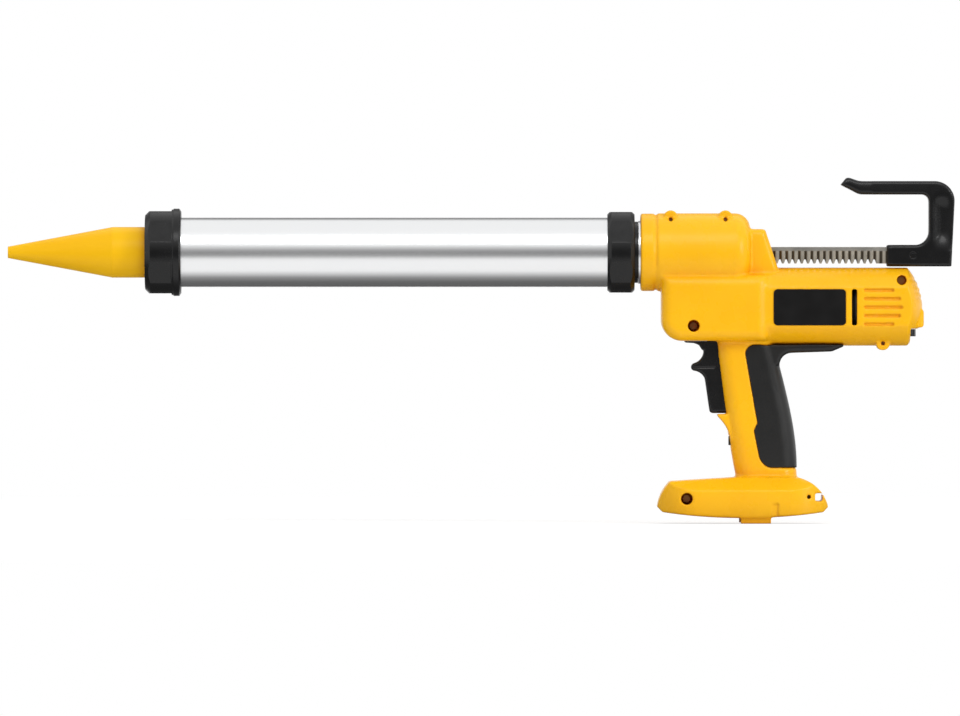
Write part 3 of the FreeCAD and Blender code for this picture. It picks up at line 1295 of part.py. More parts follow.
def housing():
    upper = upper_form()
    gear = gear_form()
    motor = motor_form()
    grip = grip_form()
    skin = grip_form("cover_depth")
    tabs = [box(("-tab_length / 2", "tab_length / 2"), ends, ("0", "foot_edge")) for ends in (
        ("-(foot_width / 2 - tab_inset)", "-(foot_width / 2 - tab_inset - tab_thickness)"),
        ("foot_width / 2 - tab_inset - tab_thickness", "foot_width / 2 - tab_inset"))]
    bosses = [across("boss_od / 2", "boss_width / 2", *SCREWS[key]) for key in "abe"]
    for x, z in (SCREWS["a"], SCREWS["b"]):
        bosses.append(across("boss_od / 2", "boss_width / 2", x, f"{z} + boss_lift"))
    pad_block = side_form([
        ("motor_rear", "pad_bottom"),
        ("pad_rear", "pad_bottom"),
        ("pad_rear", "pad_top"),
        ("motor_rear", "pad_top"),
    ], "pad_width")
    far = number("pad_rear")
    round_edges(pad_block, "pad_round", lambda edge: edge.CenterOfMass.x > far - 0.001)
    solid = fuse(upper, guide_form(), gear, motor, grip, beak_form(), foot_form(), pad_block,
                 *bosses, *tabs)

    inside = fuse(upper_form("wall"), gear_form("wall"), motor_form("wall"),
                  grip_form("(cover_depth + wall)"))
    hollow = cut(inside, *housing_ribs(), *grip_ribs())
    seam = cut(common(grip, cover_region("cover_seam")), skin)
    rim = foot_plan("foot_rim", "foot_recess * 2")
    socket = slab(("socket_front", "socket_rear"), "socket_width / 2", ("-foot_low", "socket_top"))
    terminal = slab(("socket_front - wall", "socket_rear + wall / 2"), "socket_width / 2 + wall / 2",
                    ("socket_top", TERMINAL_TOP))
    bush_back = "(upper_rear + bush_length)"
    bush_fit = "(bush_wall + slide_gap + seat_gap)"
    rear_bush = rack_window(bush_fit, "upper_rear - wall * 2", bush_back)
    flange_room = along("spigot_flange / 2 + seat_gap", SPIGOT_SEAT, f"{SPIGOT_SEAT} + spigot_flange_width",
                        "barrel_height")
    case_room = along(f"{CASE_R} + seat_gap", COVER_FRONT, MOTOR_FRONT, MOTOR_Z)
    nose_bore = along("spigot_od / 2 + seat_gap", "nose_front - wall", f"{SPIGOT_SEAT} + wall",
                      "barrel_height")
    tunnel = rack_window("slide_gap", "upper_rear - wall * 2", "guide_foot + wall")
    axle_bores = [
        across(f"{PINION_BUSH_R} + press_gap", "pinion_shaft_length / 2 + press_gap", "pinion_x", PINION_Z),
        across(f"{LAY_BUSH_R} + press_gap", "lay_shaft_length / 2 + press_gap", LAY_X, MOTOR_Z),
        across("trigger_pin_d / 2 + press_gap", "trigger_pin_length / 2 + press_gap",
               "trigger_pivot_x", "trigger_pivot_z"),
    ]
    dial_low = f"({DIAL_Z} - dial_height / 2 - slide_gap)"
    dial_slot = rod("dial_od / 2 + slide_gap", dial_low, CONTROL_BOTTOM, "z", x="dial_x")
    dial_notch = slab((DIAL_NOTCH, "pad_rear"), "motor_od", (f"{MOTOR_Z} - motor_od", CONTROL_BOTTOM))
    lock_half = "(lock_width / 2 + lock_travel / 2 + slide_gap)"
    lock_high = "(lock_height / 2 + slide_gap)"
    flange_front = "(lock_front + lock_depth)"
    lock_room = [
        slab(("lock_front - wall", flange_front), lock_half,
             (f"lock_z - {lock_high}", f"lock_z + {lock_high}")),
        slab((f"{flange_front} - slide_gap", f"{flange_front} + lock_flange + slide_gap"),
             f"{lock_half} + lock_overhang",
             (f"lock_z - {lock_high} - lock_flange", f"lock_z + {lock_high} + lock_flange")),
    ]
    strap = slab(("strap_front", "strap_front + strap_length"), "foot_width",
                 ("strap_bottom", "strap_bottom + strap_height"))
    chamber = common(foot_plan("(wall * 4)", "foot_top * 2"),
                     slab(("foot_front", "foot_rear"), "foot_width",
                          ("foot_recess + wall", "foot_edge + wall")))
    posts = [across("post_od / 2", "foot_width", *SCREWS[key]) for key in "fg"]
    around_socket = slab(("socket_front - wall", "socket_rear + wall"), "socket_width / 2 + wall",
                         ("0", "socket_top"))
    foot_hollow = cut(chamber, around_socket, *posts)
    open_both = fuse(hollow, foot_hollow, seam, rim, socket, terminal, rear_bush, flange_room, case_room,
                     nose_bore, tunnel, trigger_slot(), dial_slot, dial_notch, strap,
                     *axle_bores, *lock_room, *screw_tools(), *louvres(-1), *louvres(1))
    shell = cut(solid, open_both)
    span = ("nose_front * 2", "pad_rear * 2")
    tall = ("-wall", "barrel_height * 2")
    left = common(shell, box(span, ("-foot_width", "0"), tall))
    plate_back = f"({FLAT_Y} + label_proud - label_thickness)"
    plate_front = f"({FLAT_Y} + label_proud)"
    keep(cut(left, plate_outline("seat_gap", plate_back, f"{plate_front} + wall")), "housing_left")
    keep(common(shell, box(span, ("0", "foot_width"), tall)), "housing_right")
    keep(plate_outline("0", plate_back, plate_front), "side_plate")
    cover = cut(common(fuse(grip, tail_form()), cover_region("0")), skin, motor, gear)
    keep(common(cover, box(span, ("-foot_width", "0"), tall)), "grip_cover_left")
    keep(common(cover, box(span, ("0", "foot_width"), tall)), "grip_cover_right")
    seat_back = f"({SPIGOT_SEAT} + spigot_flange_width)"
    front_bush = along("spigot_bore / 2 - press_gap", SPIGOT_FRONT, seat_back, "barrel_height")
    keep(cut(front_bush, rack_window("slide_gap", SPIGOT_FRONT, seat_back)), "rack_bush_front")
    rear_sleeve = rack_window("bush_wall + slide_gap", "upper_rear - wall * 2 + seat_gap",
                              f"{bush_back} - seat_gap")
    keep(cut(rear_sleeve, rack_window("slide_gap", "upper_rear - wall * 2", bush_back)), "rack_bush_rear")


# Drive from the motor to the rack

def shaft_bushes(label, shaft, length, x, z):
    """Two plain bushes that carry the ends of a cross shaft."""
    inner = f"({length} / 2 - bearing_width)"
    outer = f"({length} / 2)"
    made = []
    for start, end in ((f"-{outer}", f"-{inner}"), (inner, outer)):
        made.append(cut(rod(f"{shaft} / 2 + bearing_wall", start, end, "y", x=x, z=z),
                        rod(f"{shaft} / 2 + shaft_gap", start, end, "y", x=x, z=z)))
    keep(group(*made), label)


def rack_pinion():
    """Pinion and shaft in one piece; a tooth points straight up into the rack."""
    wheel = spur_shape(number("rack_module"), int(number("pinion_teeth")), number("pinion_width"), 0)
    half = number("pinion_shaft_length / 2")
    middle = number("pinion_width / 2")
    shaft = Part.makeCylinder(number("pinion_shaft_d / 2"), 2 * half, FreeCAD.Vector(0, 0, middle - half))
    upward = ALONG_Y.multiply(about_own_axis(-90))
    keep(feature(wheel.fuse(shaft), "pinion_x", "-pinion_width / 2", PINION_Z, upward), "rack_pinion")
    plate = turned_across([
        ("pinion_shaft_d / 2 + press_gap", "pinion_width / 2"),
        ("clutch_od / 2", "pinion_width / 2"),
        ("clutch_od / 2", "pinion_width / 2 + clutch_width"),
        ("pinion_shaft_d / 2 + press_gap", "pinion_width / 2 + clutch_width"),
    ], "pinion_x", PINION_Z)
    keep(plate, "clutch_plate")
    shaft_bushes("pinion_bushes", "pinion_shaft_d", "pinion_shaft_length", "pinion_x", PINION_Z)


def spur_pair():
    """Clutch gear, free on the pinion shaft, and the layshaft pinion that drives it."""
    module = number("spur_module")
    width = number("spur_width")
    lean = number("train_lean")
    clutch = spur_shape(module, int(number("clutch_teeth")), width,
                        number("pinion_shaft_d / 2 + shaft_gap"))
    toward_lay = ALONG_Y.multiply(about_own_axis(90 - lean))
    keep(feature(clutch, "pinion_x", SPUR_Y, PINION_Z, toward_lay), "clutch_gear")
    drive = spur_shape(module, int(number("lay_teeth")), width, number("lay_shaft_d / 2 + press_gap"))
    half_tooth = 180 / number("lay_teeth")
    toward_clutch = ALONG_Y.multiply(about_own_axis(-90 - lean + half_tooth))
    keep(feature(drive, LAY_X, SPUR_Y, MOTOR_Z, toward_clutch), "layshaft_pinion")
    keep(fuse(across("lay_shaft_d / 2", "lay_shaft_length / 2", LAY_X, MOTOR_Z)), "layshaft")
    shaft_bushes("layshaft_bushes", "lay_shaft_d", "lay_shaft_length", LAY_X, MOTOR_Z)


def bevel_shape(teeth, mate_teeth, bore, first_gap):
    """A straight bevel gear with its apex at the origin and its axis along Z.

    The gaps are pyramids with their points at the apex, cut from a turned blank.
    """
    module = number("bevel_module")
    radius = module * teeth / 2
    depth = module * mate_teeth / 2
    slope = math.atan2(radius, depth)
    reach = math.hypot(radius, depth)
    inner = (reach - number("bevel_face")) / reach
    rise = number("bevel_addendum")
    root = number("bevel_dedendum")
    hub = number("bevel_hub")
    outward = (math.cos(slope), -math.sin(slope))
    tip = (radius + outward[0] * rise, depth + outward[1] * rise)
    heel = (radius - outward[0] * root, depth - outward[1] * root)
    toe = (heel[0] * inner, heel[1] * inner)
    blank = [(bore, toe[1]), toe, (tip[0] * inner, tip[1] * inner), tip, heel, (heel[0], heel[1] + hub),
             (bore, heel[1] + hub)]
    corners = [FreeCAD.Vector(r, 0, z) for r, z in blank]
    solid = Part.Face(Part.makePolygon(corners + corners[:1])).revolve(
        FreeCAD.Vector(), FreeCAD.Vector(0, 0, 1), 360)
    half_gap = (math.pi * module / 2 + number("bevel_backlash")) / 2
    lean = math.tan(math.radians(number("pressure_angle")))
    beyond = number("bevel_overcut")
    gaps = []
    for count in range(teeth):
        turn = FreeCAD.Rotation(FreeCAD.Vector(0, 0, 1), first_gap + 360 * count / teeth)
        ring = []
        for side, height in ((-1, -root), (1, -root), (1, 2 * rise), (-1, 2 * rise)):
            across_gap = side * (half_gap + height * lean)
            ring.append(turn.multVec(FreeCAD.Vector(radius + outward[0] * height, across_gap,
                                                    depth + outward[1] * height)) * beyond)
        small = [corner * (inner / beyond / 2) for corner in ring]
        wires = [Part.makePolygon(loop + loop[:1]) for loop in (small, ring)]
        gaps.append(Part.makeLoft(wires, True, True))
    return solid.cut(Part.makeCompound(gaps))


def bevel_pair():
    """Bevel gear on the layshaft's left and the bevel pinion on the carrier's nose."""
    pinion_teeth = int(number("bevel_pinion_teeth"))
    gear_teeth = int(number("bevel_gear_teeth"))
    wheel = bevel_shape(gear_teeth, pinion_teeth, number("lay_shaft_d / 2 + press_gap"), 0)
    leftward = FreeCAD.Rotation(FreeCAD.Vector(1, 0, 0), 90)
    keep(feature(wheel, LAY_X, "0", MOTOR_Z, leftward), "bevel_gear")
    pinion = bevel_shape(pinion_teeth, gear_teeth, number("carrier_nose_d / 2 + press_gap"),
                         90 + 180 / pinion_teeth * (1 - pinion_teeth % 2))
    keep(feature(pinion, LAY_X, "0", MOTOR_Z, ALONG_X), "bevel_pinion")


def planetary_stage():
    """Sun, planets, carrier and ring between the motor and the bevel pinion."""
    module = number("planet_module")
    sun_teeth = int(number("sun_teeth"))
    planet_teeth = int(number("planet_teeth"))
    width = number("planet_width")
    sun = spur_shape(module, sun_teeth, width, number("motor_shaft_d / 2 + press_gap"))
    keep(feature(sun, PLANET_FRONT, "0", MOTOR_Z, ALONG_X), "sun_gear")
    planet = spur_shape(module, planet_teeth, width, number("planet_pin / 2 + shaft_gap"))
    half_tooth = about_own_axis(180 / planet_teeth)
    pins = []
    for count in range(int(number("planet_count"))):
        angle = f"(90 + 360 / planet_count * {count})"
        y = f"({PLANET_ORBIT} * cos({angle}))"
        z = f"({MOTOR_Z} + {PLANET_ORBIT} * sin({angle}))"
        keep(feature(planet, PLANET_FRONT, y, z, ALONG_X.multiply(half_tooth)), f"planet_gear_{count + 1}")
        pins.append(rod("planet_pin / 2", RING_FRONT + " + carrier_plate", SUN_BACK, "x", y=y, z=z))
    plate_front = f"({RING_FRONT} + slide_gap)"
    plate = turned_along_barrel([
        (f"{LAY_X} + bevel_module * bevel_gear_teeth / 2 - bevel_face", "0"),
        (f"{LAY_X} + bevel_module * bevel_gear_teeth / 2 - bevel_face", "carrier_nose_d / 2"),
        (f"{COVER_FRONT} - slide_gap", "carrier_nose_d / 2"),
        (f"{COVER_FRONT} - slide_gap", "carrier_shaft_d / 2"),
        (plate_front, "carrier_shaft_d / 2"),
        (plate_front, f"{PLANET_ORBIT} + planet_pin"),
        (f"{plate_front} + carrier_plate", f"{PLANET_ORBIT} + planet_pin"),
        (f"{plate_front} + carrier_plate", "0"),
    ], z=MOTOR_Z)
    keep(fuse(plate, *pins), "planet_carrier")
    ring_teeth = sun_teeth + 2 * planet_teeth
    ring_bore = Part.Face(gear_wire(module, ring_teeth, number("tooth_thinning"), inside=True))
    ring = Part.makeCylinder(number(CASE_R), number("ring_width"))
    ring = ring.cut(ring_bore.extrude(FreeCAD.Vector(0, 0, number("ring_width"))))
    keep(feature(ring, RING_FRONT, "0", MOTOR_Z, ALONG_X), "ring_gear")
    bush_r = "(carrier_shaft_d / 2 + bearing_wall)"
    keep(turned_along_barrel([
        (COVER_FRONT, f"{bush_r} + press_gap"), (RING_FRONT, f"{bush_r} + press_gap"),
        (RING_FRONT, CASE_R), (COVER_FRONT, CASE_R),
    ], z=MOTOR_Z), "gear_cover")
    keep(turned_along_barrel([
        (COVER_FRONT, "carrier_shaft_d / 2 + shaft_gap"), (RING_FRONT, "carrier_shaft_d / 2 + shaft_gap"),
        (RING_FRONT, bush_r), (COVER_FRONT, bush_r),
    ], z=MOTOR_Z), "carrier_bush")


def motor():
    """Brushed motor: can, magnets, armature, end bell, brushes, bushes and fan."""
    bush_r = "(motor_bush_od / 2 + press_gap)"
    keep(turned_along_barrel([
        (MOTOR_FRONT, bush_r),
        (MOTOR_FRONT, CASE_R),
        (BELL_FRONT, CASE_R),
        (BELL_FRONT, CAN_R),
        (f"{MOTOR_FRONT} + motor_bush_length", CAN_R),
        (f"{MOTOR_FRONT} + motor_bush_length", bush_r),
    ], z=MOTOR_Z), "motor_can")
    magnet_end = f"({MOTOR_FRONT} + magnet_start + magnet_length)"
    ring = turned_along_barrel([
        (f"{MOTOR_FRONT} + magnet_start", f"{CAN_R} - magnet_thickness"),
        (magnet_end, f"{CAN_R} - magnet_thickness"),
        (magnet_end, f"{CAN_R} - seat_gap"),
        (f"{MOTOR_FRONT} + magnet_start", f"{CAN_R} - seat_gap"),
    ], z=MOTOR_Z)
    keep(cut(ring, slab((MOTOR_FRONT, BELL_FRONT), CASE_R,
                        (f"{MOTOR_Z} - magnet_gap / 2", f"{MOTOR_Z} + magnet_gap / 2"))), "motor_magnets")
    core_front = f"({MOTOR_FRONT} + magnet_start)"
    comm_front = f"({MOTOR_FRONT} + commutator_start)"
    comm_back = f"({comm_front} + commutator_length)"
    shaft = "motor_shaft_d / 2"
    armature = turned_along_barrel([
        (PLANET_FRONT, "0"),
        (PLANET_FRONT, shaft),
        (core_front, shaft),
        (core_front, "core_od / 2"),
        (magnet_end, "core_od / 2"),
        (magnet_end, shaft),
        (comm_front, shaft),
        (comm_front, "commutator_od / 2"),
        (comm_back, "commutator_od / 2"),
        (comm_back, shaft),
        (f"{FAN_BACK} + seat_gap", shaft),
        (f"{FAN_BACK} + seat_gap", "0"),
    ], z=MOTOR_Z)
    half = "core_slot_width / 2"
    slot = outline(armature, "XY_Plane", [
        (f"{core_front} - wall", f"-{half}"), (f"{magnet_end} + wall", f"-{half}"),
        (f"{magnet_end} + wall", half), (f"{core_front} - wall", half),
    ], offset="core_od / 2 - core_slot_depth")
    around(armature, pocket(armature, slot, "core_od", False, True), "X_Axis", "core_slots")
    keep(armature, "armature")
    bell = turned_along_barrel([
        (BELL_FRONT, "brush_bore / 2"),
        (BELL_FRONT, CASE_R),
        (f"{BELL_BACK} - motor_bush_length", CASE_R),
        (BELL_BACK, f"{CASE_R} - motor_bush_length"),
        (BELL_BACK, bush_r),
        (f"{BELL_BACK} - motor_bush_length", bush_r),
        (f"{BELL_BACK} - motor_bush_length", "brush_bore / 2"),
    ], z=MOTOR_Z)
    brush_front = f"({BELL_FRONT} + seat_gap)"
    brush_back = f"({brush_front} + brush_width)"
    brush_in = "(commutator_od / 2 + slide_gap)"
    brush_out = f"({brush_in} + brush_length)"
    high = (f"{MOTOR_Z} - brush_width / 2", f"{MOTOR_Z} + brush_width / 2")
    room = (f"{MOTOR_Z} - brush_width / 2 - seat_gap", f"{MOTOR_Z} + brush_width / 2 + seat_gap")
    brush_room = slab((BELL_FRONT, f"{brush_back} + seat_gap"), f"{brush_out} + seat_gap", room)
    keep(cut(bell, brush_room), "end_bell")
    keep(group(box((brush_front, brush_back), (f"-{brush_out}", f"-{brush_in}"), high),
               box((brush_front, brush_back), (brush_in, brush_out), high)), "motor_brushes")
    bushes = []
    for start in (MOTOR_FRONT, f"({BELL_BACK} - motor_bush_length)"):
        end = f"{start} + motor_bush_length"
        bushes.append(cut(along("motor_bush_od / 2", start, end, MOTOR_Z),
                          along("motor_shaft_d / 2 + shaft_gap", start, end, MOTOR_Z)))
    keep(group(*bushes), "motor_bushes")
    fan = turned_along_barrel([
        (FAN_FRONT, "motor_shaft_d / 2 + press_gap"),
        (FAN_FRONT, "fan_hub / 2"),
        (f"{FAN_BACK} - fan_plate", "fan_hub / 2"),
        (f"{FAN_BACK} - fan_plate", "fan_od / 2"),
        (FAN_BACK, "fan_od / 2"),
        (FAN_BACK, "motor_shaft_d / 2 + press_gap"),
    ], z=MOTOR_Z)
    thin = "fan_plate / 2"
    blade = outline(fan, "XY_Plane", [
        (FAN_FRONT, f"-{thin}"), (FAN_BACK, f"-{thin}"), (FAN_BACK, thin), (FAN_FRONT, thin),
    ], offset="motor_shaft_d / 2 + fan_plate")
    blade_reach = "fan_od / 2 - motor_shaft_d / 2 - fan_plate * 2"
    around(fan, pad(fan, blade, blade_reach, False), "X_Axis", "fan_blades")
    keep(fan, "cooling_fan")


# Switch, trigger, lock, speed dial and battery contacts

TRIGGER_SLOPE = "((trigger_back - trigger_heel) / (gear_bottom - trigger_bottom))"
PLUNGER_LOW = "(plunger_z - plunger_d / 2)"
PLUNGER_FRONT = f"(trigger_heel + ({PLUNGER_LOW} - trigger_bottom) * {TRIGGER_SLOPE} + slide_gap)"


def trigger():
    """Long two-finger trigger with a hollow above its hook and an ear for the pin."""
    ear_front = "(trigger_pivot_x - trigger_ear)"
    body = side_form([
        (ear_front, "trigger_pivot_z", "trigger_ear", "anticlockwise"),
        (ear_front, "trigger_brow_top"),
        ("trigger_brow", "trigger_brow_top"),
        ("trigger_hook", "trigger_hook_top", "trigger_hollow", "clockwise"),
        ("trigger_hook", "trigger_hook_foot", "trigger_hook_round", "anticlockwise"),
        ("trigger_lower", "trigger_lower_top", "trigger_hollow", "clockwise"),
        ("trigger_toe", "trigger_bottom + trigger_toe_round"),
        ("trigger_toe + trigger_toe_round", "trigger_bottom", "trigger_toe_round", "anticlockwise"),
        ("trigger_heel", "trigger_bottom"),
        ("trigger_back", "gear_bottom"),
        ("trigger_pivot_x + trigger_ear", "trigger_pivot_z"),
        ("trigger_pivot_x", "trigger_pivot_z + trigger_ear", "trigger_ear", "anticlockwise"),
    ], "trigger_width")
    side = on_side(number("trigger_width / 2"))
    low = number("trigger_brow_top")
    front = number("trigger_toe + trigger_toe_round")
    round_edges(body, "trigger_round", lambda edge: side(edge) and edge.CenterOfMass.z < low - 0.001
                and edge.CenterOfMass.x < front)
    pivot = ("trigger_pivot_x", "trigger_pivot_z")
    keep(cut(body, across("trigger_pin_d / 2 + shaft_gap", "trigger_width", *pivot)), "trigger")
    keep(fuse(across("trigger_pin_d / 2", "trigger_pin_length / 2", *pivot)), "trigger_pin")


def switch():
    """Switch body and the sprung plunger that the trigger's back pushes."""
    body = slab(("switch_front", "switch_front + switch_length"), "switch_width / 2",
                ("switch_bottom", "switch_bottom + switch_height"))
    bore = along("plunger_d / 2 + shaft_gap", "switch_front", "switch_front + plunger_bore", "plunger_z")
    keep(cut(body, bore), "switch_module")
    plunger = along("plunger_d / 2", PLUNGER_FRONT, "switch_front + plunger_inside", "plunger_z")
    keep(fuse(plunger), "switch_plunger")


def lock_slider():
    flange_front = "(lock_front + lock_depth)"
    block = slab(("lock_front", flange_front), "lock_width / 2",
                 ("lock_z - lock_height / 2", "lock_z + lock_height / 2"))
    flange = slab((flange_front, f"{flange_front} + lock_flange"), "lock_width / 2 + lock_overhang",
                  ("lock_z - lock_height / 2 - lock_flange", "lock_z + lock_height / 2 + lock_flange"))
    keep(fuse(block, flange), "lock_slider")


def speed_dial():
    """Notched wheel that turns on the spindle of the speed control above it."""
    wheel = new_body(x="dial_x", z=DIAL_Z)
    pad(wheel, circle(wheel, "XY_Plane", "0", "0", "dial_od / 2"), "dial_height")
    groove = circle(wheel, "XY_Plane", "dial_od / 2", "0", "dial_notch / 2")
    notch = pocket(wheel, groove, "dial_height * 2")
    around(wheel, notch, "Z_Axis", "dial_notches")
    pocket(wheel, circle(wheel, "XY_Plane", "0", "0", "spindle_d / 2 + shaft_gap"), "dial_height * 2")
    keep(wheel, "speed_dial")
    control = rod("control_od / 2", CONTROL_BOTTOM, f"{CONTROL_BOTTOM} + control_height", "z", x="dial_x")
    spindle = rod("spindle_d / 2", f"{DIAL_Z} - dial_height / 2", f"{CONTROL_BOTTOM} + control_height / 2",
                  "z", x="dial_x")
    keep(fuse(control, spindle), "speed_control")


def battery_contacts():
    """Terminal block above the battery post's socket, with three blades that hang into it."""
    block = slab(("socket_front - wall + seat_gap", "socket_rear + wall / 2 - seat_gap"),
                 "socket_width / 2 + wall / 2 - seat_gap", ("socket_top", f"{TERMINAL_TOP} - seat_gap"))
    middle = "((socket_front + socket_rear) / 2)"
    rooted = "(socket_top + terminal_height / 2)"
    blades = []
    slots = []
    for step in (-1, 0, 1):
        centre = f"(blade_pitch * {step})"
        for grow, top, made in (("0", rooted, blades), ("press_gap", f"{rooted} + press_gap", slots)):
            half_wide = f"blade_width / 2 + {grow}"
            half_thick = f"blade_thickness / 2 + {grow}"
            made.append(box((f"{middle} - ({half_wide})", f"{middle} + {half_wide}"),
                            (f"{centre} - ({half_thick})", f"{centre} + {half_thick}"),
                            ("socket_top - blade_drop", top)))
    keep(cut(block, *slots), "terminal_block")
    keep(group(*blades), "contact_blades")


# All pieces, in the order from nozzle to battery foot

for make in (nozzle, front_cap, barrel_tube, barrel_collar, barrel_spigot, piston, rack, pull_handle, housing,
             screws, rack_pinion, spur_pair, bevel_pair, planetary_stage, motor, trigger, switch, lock_slider,
             speed_dial, battery_contacts):
    make()
doc.recompute()

faults = [thing.Label for thing in doc.Objects if "Invalid" in thing.State or "Error" in thing.State]
for node in nodes:
    if node.Shape.isNull() or not node.Shape.isValid() or node.Shape.Volume <= 0:
        faults.append(node.Label)
if faults:
    raise RuntimeError("These pieces are not sound: " + ", ".join(faults))

os.makedirs("parts", exist_ok=True)
for node in nodes:
    node.Shape.exportStep(f"parts/{node.Label}.step")
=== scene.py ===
# %% [markdown]
# # A cordless caulking tool in the studio
# The tool pushes sealant out of a metal barrel with a motor-driven rack. Its CAD model is already exact, so
# this lesson only dresses it: a camera, a studio, finishes for plastic, rubber and metal, and the soft
# moulded blends and small details that a solid model leaves plain.

# %% Load the CAD model
import json
import math

import bpy
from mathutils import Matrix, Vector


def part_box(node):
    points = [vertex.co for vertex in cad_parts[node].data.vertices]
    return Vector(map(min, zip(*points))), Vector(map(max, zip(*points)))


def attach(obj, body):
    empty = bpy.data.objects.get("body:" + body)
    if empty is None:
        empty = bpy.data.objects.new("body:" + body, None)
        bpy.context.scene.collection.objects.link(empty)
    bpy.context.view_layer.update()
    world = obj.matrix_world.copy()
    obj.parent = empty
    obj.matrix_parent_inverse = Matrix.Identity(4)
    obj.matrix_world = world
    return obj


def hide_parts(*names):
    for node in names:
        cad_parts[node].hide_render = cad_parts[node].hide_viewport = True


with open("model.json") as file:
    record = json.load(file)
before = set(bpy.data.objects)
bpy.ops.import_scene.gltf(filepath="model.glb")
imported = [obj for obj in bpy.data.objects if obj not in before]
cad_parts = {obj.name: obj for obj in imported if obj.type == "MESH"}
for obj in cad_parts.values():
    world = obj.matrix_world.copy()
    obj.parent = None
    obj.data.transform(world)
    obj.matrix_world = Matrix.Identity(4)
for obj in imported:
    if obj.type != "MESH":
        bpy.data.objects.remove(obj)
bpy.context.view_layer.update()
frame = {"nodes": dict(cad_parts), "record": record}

nodes = frame["nodes"]

# %% [markdown]
# ## Camera
# The picture is a side view from far away, so a long lens is used: with a 36 mm sensor and 500 mm of focal
# length, 720 mm of the tool fill the picture's width at a distance of 10 m, and nothing looks stretched.

# %% Set up the camera
PICTURE_CENTRE_X = -0.20625
PICTURE_CENTRE_Z = 0.12375
CAMERA_DISTANCE = 10.0

camera_data = bpy.data.cameras.new("portrait_lens")
camera_data.lens = 500
camera_data.sensor_width = 36
camera_data.clip_end = 60
camera = bpy.data.objects.new("portrait_camera", camera_data)
camera.location = (PICTURE_CENTRE_X, -CAMERA_DISTANCE, PICTURE_CENTRE_Z)
camera.rotation_euler = (math.radians(90), 0, 0)
bpy.context.scene.collection.objects.link(camera)
bpy.context.scene.camera = camera
bpy.context.scene.view_settings.view_transform = "Standard"
print("camera looks along +Y from", tuple(camera.location))

# %% [markdown]
# ## A helper for node trees
# Every finish below is a small tree of shader nodes. Adding a node and filling its sockets takes many lines,
# so one helper does both: a number is set on the socket, and another node's output is linked to it.

# %% Add a node and fill its sockets
def add_node(tree, kind, **inputs):
    made = tree.nodes.new("ShaderNode" + kind)
    for key, value in inputs.items():
        socket = made.inputs[key.replace("_", " ")]
        if isinstance(value, bpy.types.NodeSocket):
            tree.links.new(value, socket)
        else:
            socket.default_value = value
    return made


def ramp(tree, factor, *stops):
    """A colour ramp: each stop is a place from 0 to 1 and a grey level or a colour."""
    made = tree.nodes.new("ShaderNodeValToRGB")
    tree.links.new(factor, made.inputs["Fac"])
    while len(made.color_ramp.elements) < len(stops):
        made.color_ramp.elements.new(0.5)
    for element, (place, tone) in zip(made.color_ramp.elements, stops):
        element.position = place
        element.color = (*tone, 1) if isinstance(tone, tuple) else (tone, tone, tone, 1)
    return made.outputs["Color"]


def mixed(tree, share, under, over):
    """A colour between an output below and a colour or output above it.

    A colour mix has sockets for numbers and vectors too, so its colours are found by their places.
    """
    made = tree.nodes.new("ShaderNodeMix")
    made.data_type = "RGBA"
    tree.links.new(share, made.inputs["Factor"])
    tree.links.new(under, made.inputs[6])
    if isinstance(over, tuple):
        made.inputs[7].default_value = (*over, 1)
    else:
        tree.links.new(over, made.inputs[7])
    return made.outputs[2]


def combined(tree, first, second, operation):
    """Two numbers joined by one operation, such as MULTIPLY or MAXIMUM."""
    made = tree.nodes.new("ShaderNodeMath")
    made.operation = operation
    tree.links.new(first, made.inputs[0])
    tree.links.new(second, made.inputs[1])
    return made.outputs[0]


def looked_at(tree):
    """1 where the camera looks straight at a surface, or sees it in metal or through glass."""
    ray = tree.nodes.new("ShaderNodeLightPath").outputs
    mirrored = combined(tree, ray["Is Glossy Ray"], ray["Is Transmission Ray"], "MAXIMUM")
    return combined(tree, ray["Is Camera Ray"], mirrored, "MAXIMUM")


print("node helpers ready")

# %% [markdown]
# ## Studio world
# The world is a bright room, brighter overhead than at the horizon, and it lights the tool from all sides.
# The camera sees it as plain white, and so do reflections, so that metal shows the same white room.

# %% Paint the world
world = bpy.data.worlds.new("studio")
bpy.context.scene.world = world
world.use_nodes = True
tree = world.node_tree
tree.nodes.clear()
direction = add_node(tree, "TexCoord").outputs["Generated"]
height = add_node(tree, "SeparateXYZ", Vector=direction).outputs["Z"]
lifted = add_node(tree, "MapRange", Value=height, From_Min=-1.0, From_Max=1.0).outputs["Result"]
sky = ramp(tree, lifted, (0.0, 0.3), (0.5, 0.35), (0.7, 0.75), (0.85, 1.0))
studio = add_node(tree, "Background", Color=sky, Strength=1.0)
white = add_node(tree, "Background", Color=(1, 1, 1, 1), Strength=1.0)
seen = add_node(tree, "MixShader", Fac=looked_at(tree))
tree.links.new(studio.outputs[0], seen.inputs[1])
tree.links.new(white.outputs[0], seen.inputs[2])
tree.links.new(seen.outputs[0], add_node(tree, "OutputWorld").inputs["Surface"])
print("world painted")

# %% [markdown]
# ## Floor
# The floor is a plain pale sheet that keeps a soft shadow under the tool. Far away it fades into pure white,
# so no horizon shows. What it throws back on the tool is grey, as from a table that the lamps hardly reach.

# %% Lay the floor
FLOOR_SIZE = 24
FLOOR_HEIGHT = -0.0004
FADE_START, FADE_END = 0.5, 2.0

